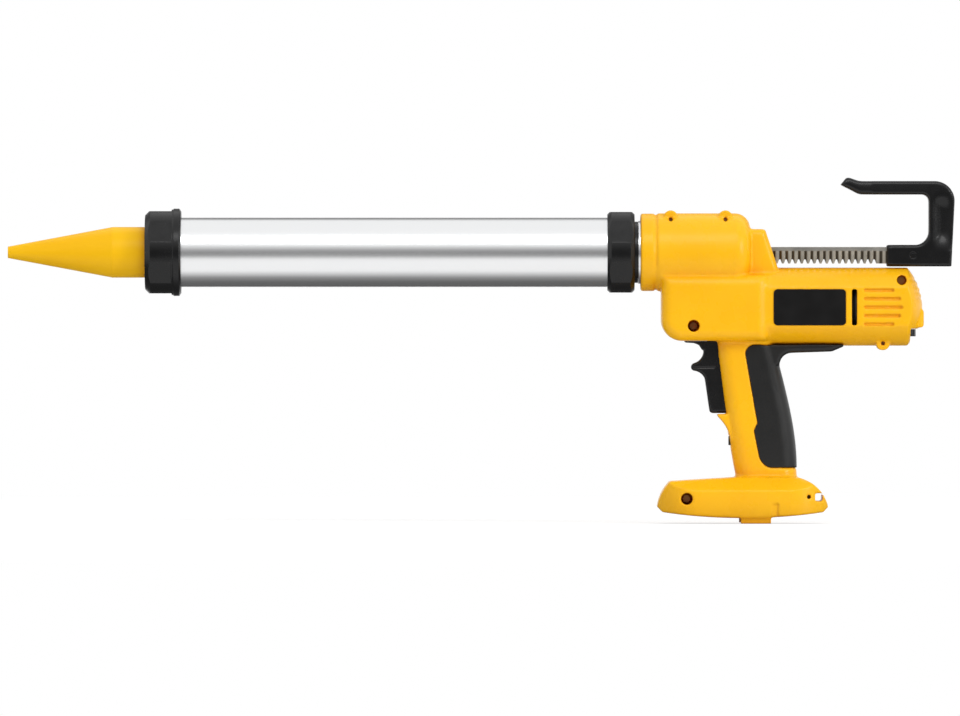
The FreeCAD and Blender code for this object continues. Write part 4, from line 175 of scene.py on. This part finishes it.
bpy.ops.object.select_all(action="DESELECT")
bpy.ops.mesh.primitive_plane_add(size=FLOOR_SIZE, location=(0, 0, FLOOR_HEIGHT))
floor = bpy.context.object
floor.name = "studio_floor"
bpy.ops.object.transform_apply(location=True)
paper = bpy.data.materials.new("floor_paper")
paper.use_nodes = True
tree = paper.node_tree
tree.nodes.clear()
spot = add_node(tree, "TexCoord").outputs["Object"]
away = add_node(tree, "VectorMath", Vector=spot)
away.operation = "LENGTH"
fade = add_node(tree, "MapRange", Value=away.outputs["Value"], From_Min=FADE_START, From_Max=FADE_END,
                To_Min=0.7)
fibre = add_node(tree, "TexNoise", Vector=spot, Scale=60.0, Detail=6.0).outputs["Fac"]
seen_white = looked_at(tree)
thrown_back = ramp(tree, fibre, (0.3, 0.38), (0.7, 0.42))
tone = mixed(tree, seen_white, thrown_back, ramp(tree, fibre, (0.3, 0.96), (0.7, 1.0)))
matt = add_node(tree, "BsdfDiffuse", Color=tone, Roughness=1.0)
glow = add_node(tree, "Emission", Color=(1, 1, 1, 1), Strength=1.0)
glowing = combined(tree, seen_white, fade.outputs["Result"], "MULTIPLY")
seen = add_node(tree, "MixShader", Fac=glowing)
tree.links.new(matt.outputs[0], seen.inputs[1])
tree.links.new(glow.outputs[0], seen.inputs[2])
tree.links.new(seen.outputs[0], add_node(tree, "OutputMaterial").inputs["Surface"])
floor.data.materials.append(paper)
print("floor laid")

# %% [markdown]
# ## Lamps
# Three soft lamps stand in for studio softboxes, over the front, over the back and beside the handle. A weak
# panel low in front does what a white card on the table does: it lifts the undersides.

# %% Hang the lamps
def softbox(name, place, aim, width, height, power, mirrored=True):
    """A soft rectangular lamp, turned to an aim, that metal may or may not mirror."""
    lamp = bpy.data.lights.new(name, "AREA")
    lamp.shape = "RECTANGLE"
    lamp.size = width
    lamp.size_y = height
    lamp.energy = power
    made = bpy.data.objects.new(name, lamp)
    made.location = place
    reach = [end - start for start, end in zip(place, aim)]
    flat = math.hypot(reach[0], reach[1])
    made.rotation_euler = (math.atan2(flat, -reach[2]), 0, math.atan2(-reach[0], reach[1]))
    made.visible_camera = False
    made.visible_glossy = mirrored
    bpy.context.scene.collection.objects.link(made)


MIDDLE = (-0.2, 0, 0.15)
MOTOR = (0.0, 0, 0.15)
softbox("front_softbox", (0.1, -2.0, 2.0), MIDDLE, 1.6, 1.0, 15.5)
softbox("right_softbox", (1.9, -1.5, 0.8), MOTOR, 0.45, 1.2, 19)
softbox("back_softbox", (0.3, 1.8, 1.7), MIDDLE, 2.4, 1.2, 14, mirrored=False)
softbox("floor_reflector", (-0.2, -0.27, 0.004), (-0.2, -0.27, 1.0), 1.6, 0.44, 1.5, mirrored=False)
print("four soft lamps placed")

# %% [markdown]
# ## Dark cards
# Polished metal in an all-white room looks like paper. Photographers give it shape with dark cards that only
# show as reflections: one around the lens, which draws the barrel's dark middle band, one on the table behind
# the tool, which draws its lower edge, and one high behind it, which draws its upper edge. They fade out
# softly, and no camera sees them.

# %% Stand the dark cards
def dark_card(name, place, turn, width, height, *tones):
    """A card, seen only in reflections, with a run of grey tones from its lower to its upper edge."""
    bpy.ops.object.select_all(action="DESELECT")
    bpy.ops.mesh.primitive_plane_add(size=1, location=place, rotation=(math.radians(turn), 0, 0))
    card = bpy.context.object
    card.name = name
    card.scale = (width, height, 1)
    for sight in ("visible_camera", "visible_diffuse", "visible_shadow", "visible_volume_scatter"):
        setattr(card, sight, False)
    made = bpy.data.materials.new(name)
    made.use_nodes = True
    tree = made.node_tree
    tree.nodes.clear()
    spot = add_node(tree, "TexCoord").outputs["Object"]
    upward = add_node(tree, "SeparateXYZ", Vector=spot).outputs["Y"]
    run = add_node(tree, "MapRange", Value=upward, From_Min=-0.5, From_Max=0.5).outputs["Result"]
    glow = add_node(tree, "Emission", Color=ramp(tree, run, *tones), Strength=1.0)
    tree.links.new(glow.outputs[0], add_node(tree, "OutputMaterial").inputs["Surface"])
    card.data.materials.append(made)


UPRIGHT, FLAT = 90, 0
dark_card("lens_card", (-0.2, -0.6, 0.30), UPRIGHT, 3.0, 0.58,
          (0.0, 0.42), (0.12, 0.32), (0.28, 0.22), (0.42, 0.30), (0.6, 0.6), (0.8, 0.95), (1.0, 1.0))
dark_card("table_card", (-0.2, 0.35, 0.002), FLAT, 2.4, 0.9,
          (0.0, 0.95), (0.1, 0.3), (0.18, 0.14), (0.6, 0.1), (0.9, 0.5), (1.0, 0.95))
dark_card("rear_card", (-0.2, 1.2, 0.9), UPRIGHT, 3.5, 1.1,
          (0.0, 0.9), (0.15, 0.35), (0.5, 0.2), (0.85, 0.5), (1.0, 0.95))
print("three dark cards placed")

# %% [markdown]
# ## Finishes
# A real surface is never one colour: moulded plastic has a spark-eroded grain, brushed metal has streaks, and
# both catch dust and fingers. Each finish here is one Principled shader whose colour drifts slowly, whose
# gloss changes in patches and whose fine grain is a bump. The Bevel node rounds the look of sharp edges and
# also tells where edges are, so they can look rubbed.

# %% Make a finish
CLOUD_SCALE = 26.0
PATCH_SCALE = 90.0
SIDE_RAYS = 6
NOOK_REACH = 0.012
RELIEF = 0.35


def finish(name, colour, drift, rubbed, rough, grain, depth, metal=0.0, stretch=(1, 1, 1), edge=0.0008,
           shine=0.3, painted_nook_shade=None):
    """A material whose colour wanders to drift, to rubbed at edges, and to painted shade in nooks.

    rough is its least and greatest roughness, grain the scale of its specks and depth their height. edge is
    the radius that edges seem to have, and stretch pulls the pattern along an axis.
    """
    made = bpy.data.materials.new(name)
    made.use_nodes = True
    tree = made.node_tree
    shader = tree.nodes["Principled BSDF"]
    shader.inputs["Metallic"].default_value = metal
    shader.inputs["Specular IOR Level"].default_value = 0.5 if metal else shine
    spot = add_node(tree, "TexCoord").outputs["Object"]
    drawn = add_node(tree, "Mapping", Vector=spot, Scale=stretch).outputs["Vector"]
    clouds = add_node(tree, "TexNoise", Vector=drawn, Scale=CLOUD_SCALE, Detail=5.0).outputs["Fac"]
    patches = add_node(tree, "TexNoise", Vector=drawn, Scale=PATCH_SCALE, Detail=4.0).outputs["Fac"]
    specks = add_node(tree, "TexNoise", Vector=drawn, Scale=grain, Detail=2.0).outputs["Fac"]
    eased = add_node(tree, "Bevel", Radius=edge)
    eased.samples = SIDE_RAYS
    facing = add_node(tree, "NewGeometry").outputs["Normal"]
    turned = add_node(tree, "VectorMath")
    turned.operation = "DOT_PRODUCT"
    tree.links.new(eased.outputs["Normal"], turned.inputs[0])
    tree.links.new(facing, turned.inputs[1])
    body = ramp(tree, clouds, (0.3, colour), (0.7, drift))
    # Painted shade: ambient occlusion darkens the colour towards a deeper tone in creases and recesses.
    if painted_nook_shade:
        nook = add_node(tree, "AmbientOcclusion", Distance=NOOK_REACH)
        nook.samples = SIDE_RAYS
        body = mixed(tree, ramp(tree, nook.outputs["AO"], (0.25, 1.0), (0.85, 0.0)), body, painted_nook_shade)
    worn = mixed(tree, ramp(tree, turned.outputs["Value"], (0.55, 0.55), (0.97, 0.0)), body, rubbed)
    tree.links.new(worn, shader.inputs["Base Color"])
    gloss = add_node(tree, "MapRange", Value=patches, From_Min=0.3, From_Max=0.7,
                     To_Min=rough[0], To_Max=rough[1])
    tree.links.new(gloss.outputs["Result"], shader.inputs["Roughness"])
    relief = add_node(tree, "Bump", Height=specks, Strength=RELIEF, Distance=depth,
                      Normal=eased.outputs["Normal"])
    tree.links.new(relief.outputs["Normal"], shader.inputs["Normal"])
    return made


print("finish helper ready")

# %% [markdown]
# ### Plastics and rubber
# Yellow parts are glass-filled nylon with a satin grain, and the nozzle is a smoother plastic. Black parts
# have a finer gloss. The grip cover is a soft rubber with a dull sheen.

# %% Plastics
# Both yellows get painted shade, a deeper orange, in their creases and recesses.
housing_yellow = finish("satin_yellow", (0.92, 0.455, 0.003), (0.95, 0.495, 0.005), (0.96, 0.56, 0.03),
                        (0.24, 0.32), 1500.0, 0.00012, edge=0.0014, shine=0.25, painted_nook_shade=(0.80, 0.26, 0.002))
nozzle_yellow = finish("smooth_yellow", (0.94, 0.50, 0.002), (0.97, 0.55, 0.004), (0.97, 0.60, 0.03),
                       (0.30, 0.38), 700.0, 0.00006, shine=0.15, painted_nook_shade=(0.86, 0.34, 0.002))
black_plastic = finish("moulded_black", (0.0025, 0.0025, 0.0027), (0.0045, 0.0045, 0.0048),
                       (0.022, 0.022, 0.023), (0.20, 0.30), 1100.0, 0.00010, shine=0.36)
grip_rubber = finish("soft_rubber", (0.006, 0.006, 0.006), (0.009, 0.009, 0.0088), (0.025, 0.025, 0.025),
                     (0.31, 0.39), 900.0, 0.00020, shine=0.40)
plate_black = finish("plate_black", (0.0035, 0.0032, 0.0032), (0.005, 0.0046, 0.0046), (0.02, 0.02, 0.02),
                     (0.28, 0.40), 500.0, 0.00004, edge=0.0003, shine=0.25)
inner_plastic = finish("dark_moulding", (0.02, 0.02, 0.022), (0.03, 0.03, 0.033), (0.06, 0.06, 0.06),
                       (0.42, 0.55), 800.0, 0.00010)
bush_plastic = finish("slide_plastic", (0.03, 0.03, 0.034), (0.045, 0.045, 0.048), (0.08, 0.08, 0.08),
                      (0.36, 0.46), 600.0, 0.00008)
print("plastics:", [m.name for m in (housing_yellow, nozzle_yellow, black_plastic, grip_rubber, plate_black)])

# %% [markdown]
# ### Metals
# The barrel is drawn aluminium, so its streaks run along it: the noise is squeezed across and stretched along
# X. Gears and rack are oiled steel, the shaft bushes sintered bronze, and the battery contacts brass.

# %% Metals
tube_aluminium = finish("drawn_aluminium", (0.80, 0.81, 0.82), (0.88, 0.885, 0.89), (0.92, 0.92, 0.92),
                        (0.20, 0.27), 420.0, 0.00002, metal=1.0, stretch=(0.02, 1, 1), edge=0.0004)
rack_steel = finish("oiled_steel", (0.22, 0.207, 0.18), (0.30, 0.285, 0.25), (0.52, 0.50, 0.46),
                    (0.28, 0.42), 700.0, 0.00006, metal=1.0, stretch=(1, 0.2, 1), edge=0.0003)
# The screws are steel; their orange-brown colour is painted reflection of the yellow recess walls, with
# painted shade.
screw_steel = finish("screw_painted_reflection", (0.36, 0.18, 0.06), (0.46, 0.25, 0.10), (0.55, 0.38, 0.22),
                     (0.30, 0.45), 900.0, 0.00004, metal=1.0, edge=0.0003)
# The motor's case is painted near black as painted shade, so that the inside of the housing looks dark
# through the slot.
motor_can_painted_shade = finish("motor_can_painted_shade", (0.022, 0.022, 0.024), (0.034, 0.034, 0.036), (0.07, 0.07, 0.07),
                     (0.50, 0.62), 700.0, 0.00006, metal=1.0, edge=0.0003)
bush_bronze = finish("sintered_bronze", (0.42, 0.26, 0.11), (0.50, 0.32, 0.15), (0.62, 0.44, 0.24),
                     (0.38, 0.52), 1200.0, 0.00006, metal=1.0, edge=0.0003)
magnet_ferrite = finish("grey_ferrite", (0.03, 0.03, 0.03), (0.05, 0.05, 0.05), (0.09, 0.09, 0.09),
                        (0.55, 0.70), 700.0, 0.00010)
contact_brass = finish("bright_brass", (0.58, 0.42, 0.15), (0.66, 0.50, 0.20), (0.78, 0.64, 0.34),
                       (0.20, 0.32), 600.0, 0.00003, metal=1.0, edge=0.0003)
print("metals:", [m.name for m in (tube_aluminium, rack_steel, screw_steel, bush_bronze, contact_brass)])

# %% [markdown]
# ### The rack's painted flank
# The rack's teeth are milled across the bar. Below the plain strip, a wave with the pitch of the teeth paints
# a highlight and a shade up each flank, one for each tooth, as light would fall on a ridge and a groove.

# %% Rack finish with painted highlights and shade
RACK_MODULE = 0.0015
RACK_PITCH = math.pi * RACK_MODULE
STRIP_BOTTOM = 0.2040
STRIP_EDGE = 0.0004
rack_painted_ridges = finish("rack_painted_light", (0.37, 0.355, 0.32), (0.46, 0.44, 0.40), (0.58, 0.56, 0.52),
                    (0.28, 0.42), 700.0, 0.00006, metal=1.0, stretch=(1, 0.2, 1), edge=0.0003)
tree = rack_painted_ridges.node_tree
shader = tree.nodes["Principled BSDF"]
spot = add_node(tree, "TexCoord").outputs["Object"]
wave = add_node(tree, "TexWave", Vector=spot, Scale=2 * math.pi / (20 * RACK_PITCH))
upward = add_node(tree, "SeparateXYZ", Vector=spot).outputs["Z"]
below = add_node(tree, "MapRange", Value=upward, From_Min=STRIP_BOTTOM + STRIP_EDGE,
                 From_Max=STRIP_BOTTOM - STRIP_EDGE)
# Painted highlight and painted shade: light stripes for ridges, dark stripes for grooves, at the tooth pitch.
painted_ridge_light = ramp(tree, wave.outputs["Fac"], (0.15, (0.07, 0.058, 0.042)), (0.5, (0.30, 0.265, 0.21)),
             (0.85, (0.62, 0.57, 0.48)))
plain = shader.inputs["Base Color"].links[0].from_socket
tree.links.new(mixed(tree, below.outputs["Result"], plain, painted_ridge_light), shader.inputs["Base Color"])
print("rack pitch:", RACK_PITCH)

# %% [markdown]
# ## Dressing the CAD nodes
# Each node's material slot in the record names its finish, so the record itself says which finish goes where.
# Three nodes have finishes of their own: the bare plate on the side, the rack with painted highlights and
# shade up its flanks, and the motor's case, painted dark as shade. The pin in the handle is painted black
# like the handle.

# %% Give every node its finish
finishes = dict(
    housing_yellow=housing_yellow, nozzle_yellow=nozzle_yellow, black_plastic=black_plastic,
    grip_rubber=grip_rubber, inner_plastic=inner_plastic, bush_plastic=bush_plastic,
    tube_aluminium=tube_aluminium, rack_steel=rack_steel, screw_steel=screw_steel,
    bush_bronze=bush_bronze, magnet_ferrite=magnet_ferrite, contact_brass=contact_brass)
slots = {part["node"]: part["material_slot"] for part in frame["record"]["subparts"]}


def dress(thing, made):
    thing.data.materials.clear()
    thing.data.materials.append(made)


for name, thing in nodes.items():
    dress(thing, finishes[slots[name]])
dress(nodes["side_plate"], plate_black)
# The rack gets painted highlights and painted shade up its flanks.
dress(nodes["rack"], rack_painted_ridges)
# The motor's case gets painted shade.
dress(nodes["motor_can"], motor_can_painted_shade)
dress(nodes["handle_pin"], black_plastic)
print("dressed nodes:", len(nodes))

# %% [markdown]
# ## Soft moulded shells
# The two housing halves are moulded, so the forms run into each other in soft blends, while the solid model
# has crisp corners there. A copy of each half is remeshed into even small faces, which can be smoothed: a
# little everywhere, and a lot only where two large forms meet. Louvres and the ways of moving parts stay
# crisp. Before that, the shallow vents in the dome and the grooves beside the foot's tab are pushed in.

# %% Soften copies of the housing halves
DOUBLES = 0.000002


def within(point, low, high):
    """True for a point in the box between two corners."""
    return all(a <= c <= b for a, c, b in zip(low, point, high))


def press(piece, low, high, move):
    """Push all points in a box by a move. Edit mode first forgets what was selected before."""
    bpy.ops.object.mode_set(mode="EDIT")
    bpy.ops.mesh.select_all(action="DESELECT")
    bpy.ops.object.mode_set(mode="OBJECT")
    for point in piece.data.vertices:
        point.select = within(point.co, low, high)
    bpy.ops.object.mode_set(mode="EDIT")
    bpy.ops.transform.translate(value=move)
    bpy.ops.object.mode_set(mode="OBJECT")


def soft_copy(node, name, voxel, blends, faces, made, crisp=(), grooves=(), added=()):
    """A copy of a node, remeshed and smoothed.

    Each blend is a box of places and a number of passes, and nothing is smoothed in the crisp boxes. Each
    groove is a box whose points are pushed by a move. Pieces that are added grow into the copy. At the end,
    flat places are thinned out to about the number of faces that is asked for.
    """
    piece = bpy.data.objects.new(name, nodes[node].data.copy())
    bpy.context.scene.collection.objects.link(piece)
    bpy.ops.object.select_all(action="DESELECT")
    piece.select_set(True)
    bpy.context.view_layer.objects.active = piece
    bpy.ops.object.mode_set(mode="EDIT")
    bpy.ops.mesh.select_all(action="SELECT")
    bpy.ops.mesh.remove_doubles(threshold=DOUBLES)
    bpy.ops.object.mode_set(mode="OBJECT")
    if added:
        for more in added:
            more.select_set(True)
        bpy.ops.object.join()
    remesh = piece.modifiers.new("voxels", "REMESH")
    remesh.mode = "VOXEL"
    remesh.voxel_size = voxel
    bpy.ops.object.modifier_apply(modifier=remesh.name)
    for low, high, move in grooves:
        press(piece, low, high, move)
    for low, high, passes in blends:
        chosen = [point.index for point in piece.data.vertices if within(point.co, low, high)
                  and not any(within(point.co, *box) for box in crisp)]
        held = piece.vertex_groups.new(name="blend")
        held.add(chosen, 1.0, "REPLACE")
        ease = piece.modifiers.new("ease", "SMOOTH")
        ease.factor = 0.5
        ease.iterations = passes
        ease.vertex_group = held.name
        bpy.ops.object.modifier_apply(modifier=ease.name)
        piece.vertex_groups.clear()
    thin = piece.modifiers.new("thin", "DECIMATE")
    thin.ratio = min(1.0, faces / (2 * len(piece.data.polygons)))
    bpy.ops.object.modifier_apply(modifier=thin.name)
    bpy.ops.object.shade_smooth()
    dress(piece, made)
    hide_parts(node)
    print(name, "faces:", len(piece.data.polygons))
    return piece


FAR = 1.0
ALL_OVER = ((-FAR, -FAR, -FAR), (FAR, FAR, FAR))
shoulder = ((-0.082, -FAR, 0.176), (0.013, FAR, 0.193), 40)
step = ((0.003, -FAR, 0.135), (0.014, FAR, 0.190), 40)
grip_root = ((-0.05, -FAR, 0.128), (0.03, FAR, 0.142), 30)
grip_foot = ((-0.03, -FAR, 0.029), (0.04, FAR, 0.044), 40)
guide_root = ((-0.012, -FAR, 0.188), (0.012, FAR, 0.224), 30)
everywhere = (*ALL_OVER, 3)
louvres = ((0.070, -FAR, 0.144), (0.112, FAR, 0.180))
lock_slot = ((-0.030, -0.012, 0.054), (-0.010, 0.012, 0.0695))
rack_tunnel = ((-FAR, -0.010, 0.189), (0.014, 0.010, 0.213))
shelf = ((-0.034, -FAR, 0.070), (-0.018, FAR, 0.0835), 12)
shelf_top = ((-0.034, -FAR, 0.0798), (-0.016, FAR, 0.0822), (0, 0, 0.0008))
VENT_HALF_HEIGHT = 0.0012
VENT_HALF_WIDTH = 0.019
VENT_DEPTH = 0.0006
rear_vents = [((0.1145, -VENT_HALF_WIDTH, height - VENT_HALF_HEIGHT),
               (FAR, VENT_HALF_WIDTH, height + VENT_HALF_HEIGHT), (-VENT_DEPTH, 0, 0))
              for height in (0.1685, 0.1731, 0.1777, 0.1823)]
rear_edge = ((0.1140, -FAR, 0.166), (FAR, FAR, 0.186), 7)
TAB_FRONT = 0.0116
TAB_TOP = 0.0145
TAB_SIDE = 0.030
STAIR_LENGTH = 0.0013
STAIR_DEPTH = 0.00035
tab_grooves = []
for count in range(4):
    front = TAB_FRONT + STAIR_LENGTH * count
    back = front + STAIR_LENGTH
    depth = STAIR_DEPTH * (count + 1)
    tab_grooves.append(((front, -FAR, -FAR), (back, -TAB_SIDE, TAB_TOP), (0, depth, 0)))
    tab_grooves.append(((front, TAB_SIDE, -FAR), (back, FAR, TAB_TOP), (0, -depth, 0)))
shell_blends = (everywhere, shoulder, step, grip_root, grip_foot, guide_root, shelf, rear_edge)
shell_crisp = (louvres, lock_slot, rack_tunnel)
shell_grooves = rear_vents + tab_grooves + [shelf_top]
for half in ("left", "right"):
    shell = soft_copy(f"housing_{half}", f"shell_{half}", 0.0007, shell_blends, 180000, housing_yellow,
                      crisp=shell_crisp, grooves=shell_grooves)
    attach(shell, "housing")

# %% [markdown]
# ## Soft grip covers
# The rubber covers are moulded over the grip, so they have no sharp edge either, and their tail under the
# motor grows out of the grip's back in one curve.

# %% Soften copies of the grip covers
rubber_edges = (*ALL_OVER, 4)
tail_root = ((0.004, -FAR, 0.110), (0.034, FAR, 0.136), 40)
tail_tip = ((0.054, -FAR, 0.122), (0.068, FAR, 0.137), 20)
for half in ("left", "right"):
    cover = soft_copy(f"grip_cover_{half}", f"soft_cover_{half}", 0.0005,
                      (rubber_edges, tail_root, tail_tip), 60000, grip_rubber)
    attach(cover, "housing")

# %% [markdown]
# ## Soft handle
# The pull handle is rounded all over where fingers touch it. Its copy is smoothed in the same way, after the
# panel in its post is pushed deeper in five steps from both sides, which become soft dishes with one long
# flank.

# %% Soften a copy of the handle
DISH_CORE = 0.0015
DISH_STEP = 0.0005
dish = []
for count in range(5):
    left, right = 0.1346 + 0.0011 * count, 0.1464 - 0.0003 * count
    bottom, top = 0.2080 + 0.0018 * count, 0.2440 - 0.0018 * count
    dish.append(((left, -FAR, bottom), (right, -DISH_CORE, top), (0, DISH_STEP, 0)))
    dish.append(((left, DISH_CORE, bottom), (right, FAR, top), (0, -DISH_STEP, 0)))
rounding = (*ALL_OVER, 9)
post = ((0.1300, -FAR, 0.204), (0.1480, FAR, 0.250), 30)
hook = ((0.068, -FAR, 0.238), (0.088, FAR, 0.262), 80)
sleeve_end = ((0.096, -FAR, 0.190), (0.1035, FAR, 0.212), 25)
dish_run = ((0.1330, -FAR, 0.2040), (0.1472, FAR, 0.2480), 90)
soft_handle = soft_copy("pull_handle", "soft_handle", 0.0006,
                        (rounding, hook, sleeve_end, post, dish_run), 60000, black_plastic, grooves=dish)
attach(soft_handle, "rod")

# %% [markdown]
# ## Soft trigger
# The trigger has a thin brow at its top that closes the slot in the housing. It is a flat outline, extruded
# to the trigger's width, and grows into the trigger's copy when that is remeshed. A shallow line round the
# finger's middle is pressed in and kept crisp.

# %% Soften a copy of the trigger
def flat_block(name, outline, half_width):
    """A block with an outline of (x, z) points, as wide as told."""
    bpy.ops.object.select_all(action="DESELECT")
    bpy.ops.mesh.primitive_circle_add(vertices=len(outline), radius=0.01, fill_type="NGON")
    block = bpy.context.object
    block.name = name
    for point, (x, z) in zip(block.data.vertices, outline):
        point.co = (x, -half_width, z)
    bpy.ops.object.mode_set(mode="EDIT")
    bpy.ops.mesh.select_all(action="SELECT")
    bpy.ops.mesh.extrude_region_move(TRANSFORM_OT_translate={"value": (0, 2 * half_width, 0)})
    bpy.ops.mesh.select_all(action="SELECT")
    bpy.ops.mesh.normals_make_consistent(inside=False)
    bpy.ops.object.mode_set(mode="OBJECT")
    return block


brow = flat_block("trigger_brow", [
    (-0.0534, 0.1365), (-0.0522, 0.1353), (-0.0458, 0.1349), (-0.0421, 0.1335),
    (-0.0400, 0.1300), (-0.0360, 0.1300), (-0.0330, 0.1345), (-0.0340, 0.1365)], 0.0070)
finger = ((-FAR, -FAR, -FAR), (FAR, FAR, 0.1335), 14)
trigger_end = ((-0.040, -FAR, 0.081), (-0.014, FAR, 0.088), 25)
SPLIT_FRONT, SPLIT_BACK = -0.052, -0.0305
SPLIT_LOW, SPLIT_HIGH = 0.1158, 0.1168
SPLIT_DEPTH = 0.0006
FINGER_CORE = 0.0045
split_line = [
    ((SPLIT_FRONT, -FAR, SPLIT_LOW), (SPLIT_BACK, -FINGER_CORE, SPLIT_HIGH), (0, SPLIT_DEPTH, 0)),
    ((SPLIT_FRONT, FINGER_CORE, SPLIT_LOW), (SPLIT_BACK, FAR, SPLIT_HIGH), (0, -SPLIT_DEPTH, 0))]
split_zone = ((SPLIT_FRONT, -FAR, 0.1152), (SPLIT_BACK, FAR, 0.1174))
soft_trigger = soft_copy("trigger", "soft_trigger", 0.0005, (finger, trigger_end), 40000, black_plastic,
                         crisp=[split_zone], grooves=split_line, added=[brow])
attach(soft_trigger, "trigger")

# %% [markdown]
# ## Soft lock slider
# The lock below the trigger is a small thumb button. It hardly stands out of the grip, and all of its edges
# are rounded, so its copy is pushed back a little at the front and smoothed. It is also made a little
# narrower, so that it slides freely in the softened grip.

# %% Soften a copy of the lock slider
BUTTON_FIT = (1, 0.92, 0.97)
button_edges = (*ALL_OVER, 12)
button_front = ((-FAR, -FAR, -FAR), (-0.0200, FAR, FAR), (0.0006, 0, 0))
soft_lock = soft_copy("lock_slider", "soft_lock", 0.0003, (button_edges,), 12000, black_plastic,
                      grooves=[button_front])
button_low, button_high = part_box("lock_slider")
bpy.ops.object.mode_set(mode="EDIT")
bpy.ops.mesh.select_all(action="SELECT")
button_height = (button_low[2] + button_high[2]) / 2
bpy.ops.transform.resize(value=BUTTON_FIT, center_override=(0, 0, button_height))
bpy.ops.object.mode_set(mode="OBJECT")
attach(soft_lock, "lock")

# %% [markdown]
# ## Fan shroud
# Between the motor's end and its fan, a thin dark ring guides the air. Only a sliver of it shows, through the
# tall slot beside the plate. It is an open cylinder round the motor's axis with a lip turned in at its rear
# end, and Solidify gives it a wall.

# %% Build the fan shroud
bell_low, bell_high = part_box("end_bell")
fan_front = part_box("cooling_fan")[0][0]
SHROUD_FRONT = bell_high[0] - 0.0001
SHROUD_BACK = fan_front - 0.0005
SHROUD_RADIUS = 0.0206
SHROUD_WALL = 0.0005
LIP = 0.94
motor_height = (bell_low[2] + bell_high[2]) / 2
bpy.ops.object.select_all(action="DESELECT")
bpy.ops.mesh.primitive_cylinder_add(
    vertices=96, radius=SHROUD_RADIUS, depth=SHROUD_BACK - SHROUD_FRONT, end_fill_type="NOTHING",
    location=((SHROUD_FRONT + SHROUD_BACK) / 2, 0, motor_height), rotation=(0, math.radians(90), 0))
shroud = bpy.context.object
shroud.name = "fan_shroud"
bpy.ops.object.transform_apply(location=True, rotation=True)
for point in shroud.data.vertices:
    point.select = point.co.x > SHROUD_BACK - 0.0002
for edge in shroud.data.edges:
    edge.select = all(shroud.data.vertices[index].select for index in edge.vertices)
for face in shroud.data.polygons:
    face.select = False
bpy.ops.object.mode_set(mode="EDIT")
bpy.ops.mesh.extrude_edges_move(TRANSFORM_OT_translate={"value": (0, 0, 0)})
bpy.ops.transform.resize(value=(1, LIP, LIP), center_override=(SHROUD_BACK, 0, motor_height))
bpy.ops.mesh.select_all(action="SELECT")
bpy.ops.mesh.normals_make_consistent(inside=False)
bpy.ops.object.mode_set(mode="OBJECT")
wall = shroud.modifiers.new("wall", "SOLIDIFY")
wall.thickness = SHROUD_WALL
bpy.ops.object.modifier_apply(modifier=wall.name)
bpy.ops.object.shade_smooth_by_angle(angle=math.radians(40))
dress(shroud, inner_plastic)
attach(shroud, "housing")
print("fan shroud:", tuple(round(1000 * size, 1) for size in shroud.dimensions), "mm")

# %% Finish
print("scene dressed")
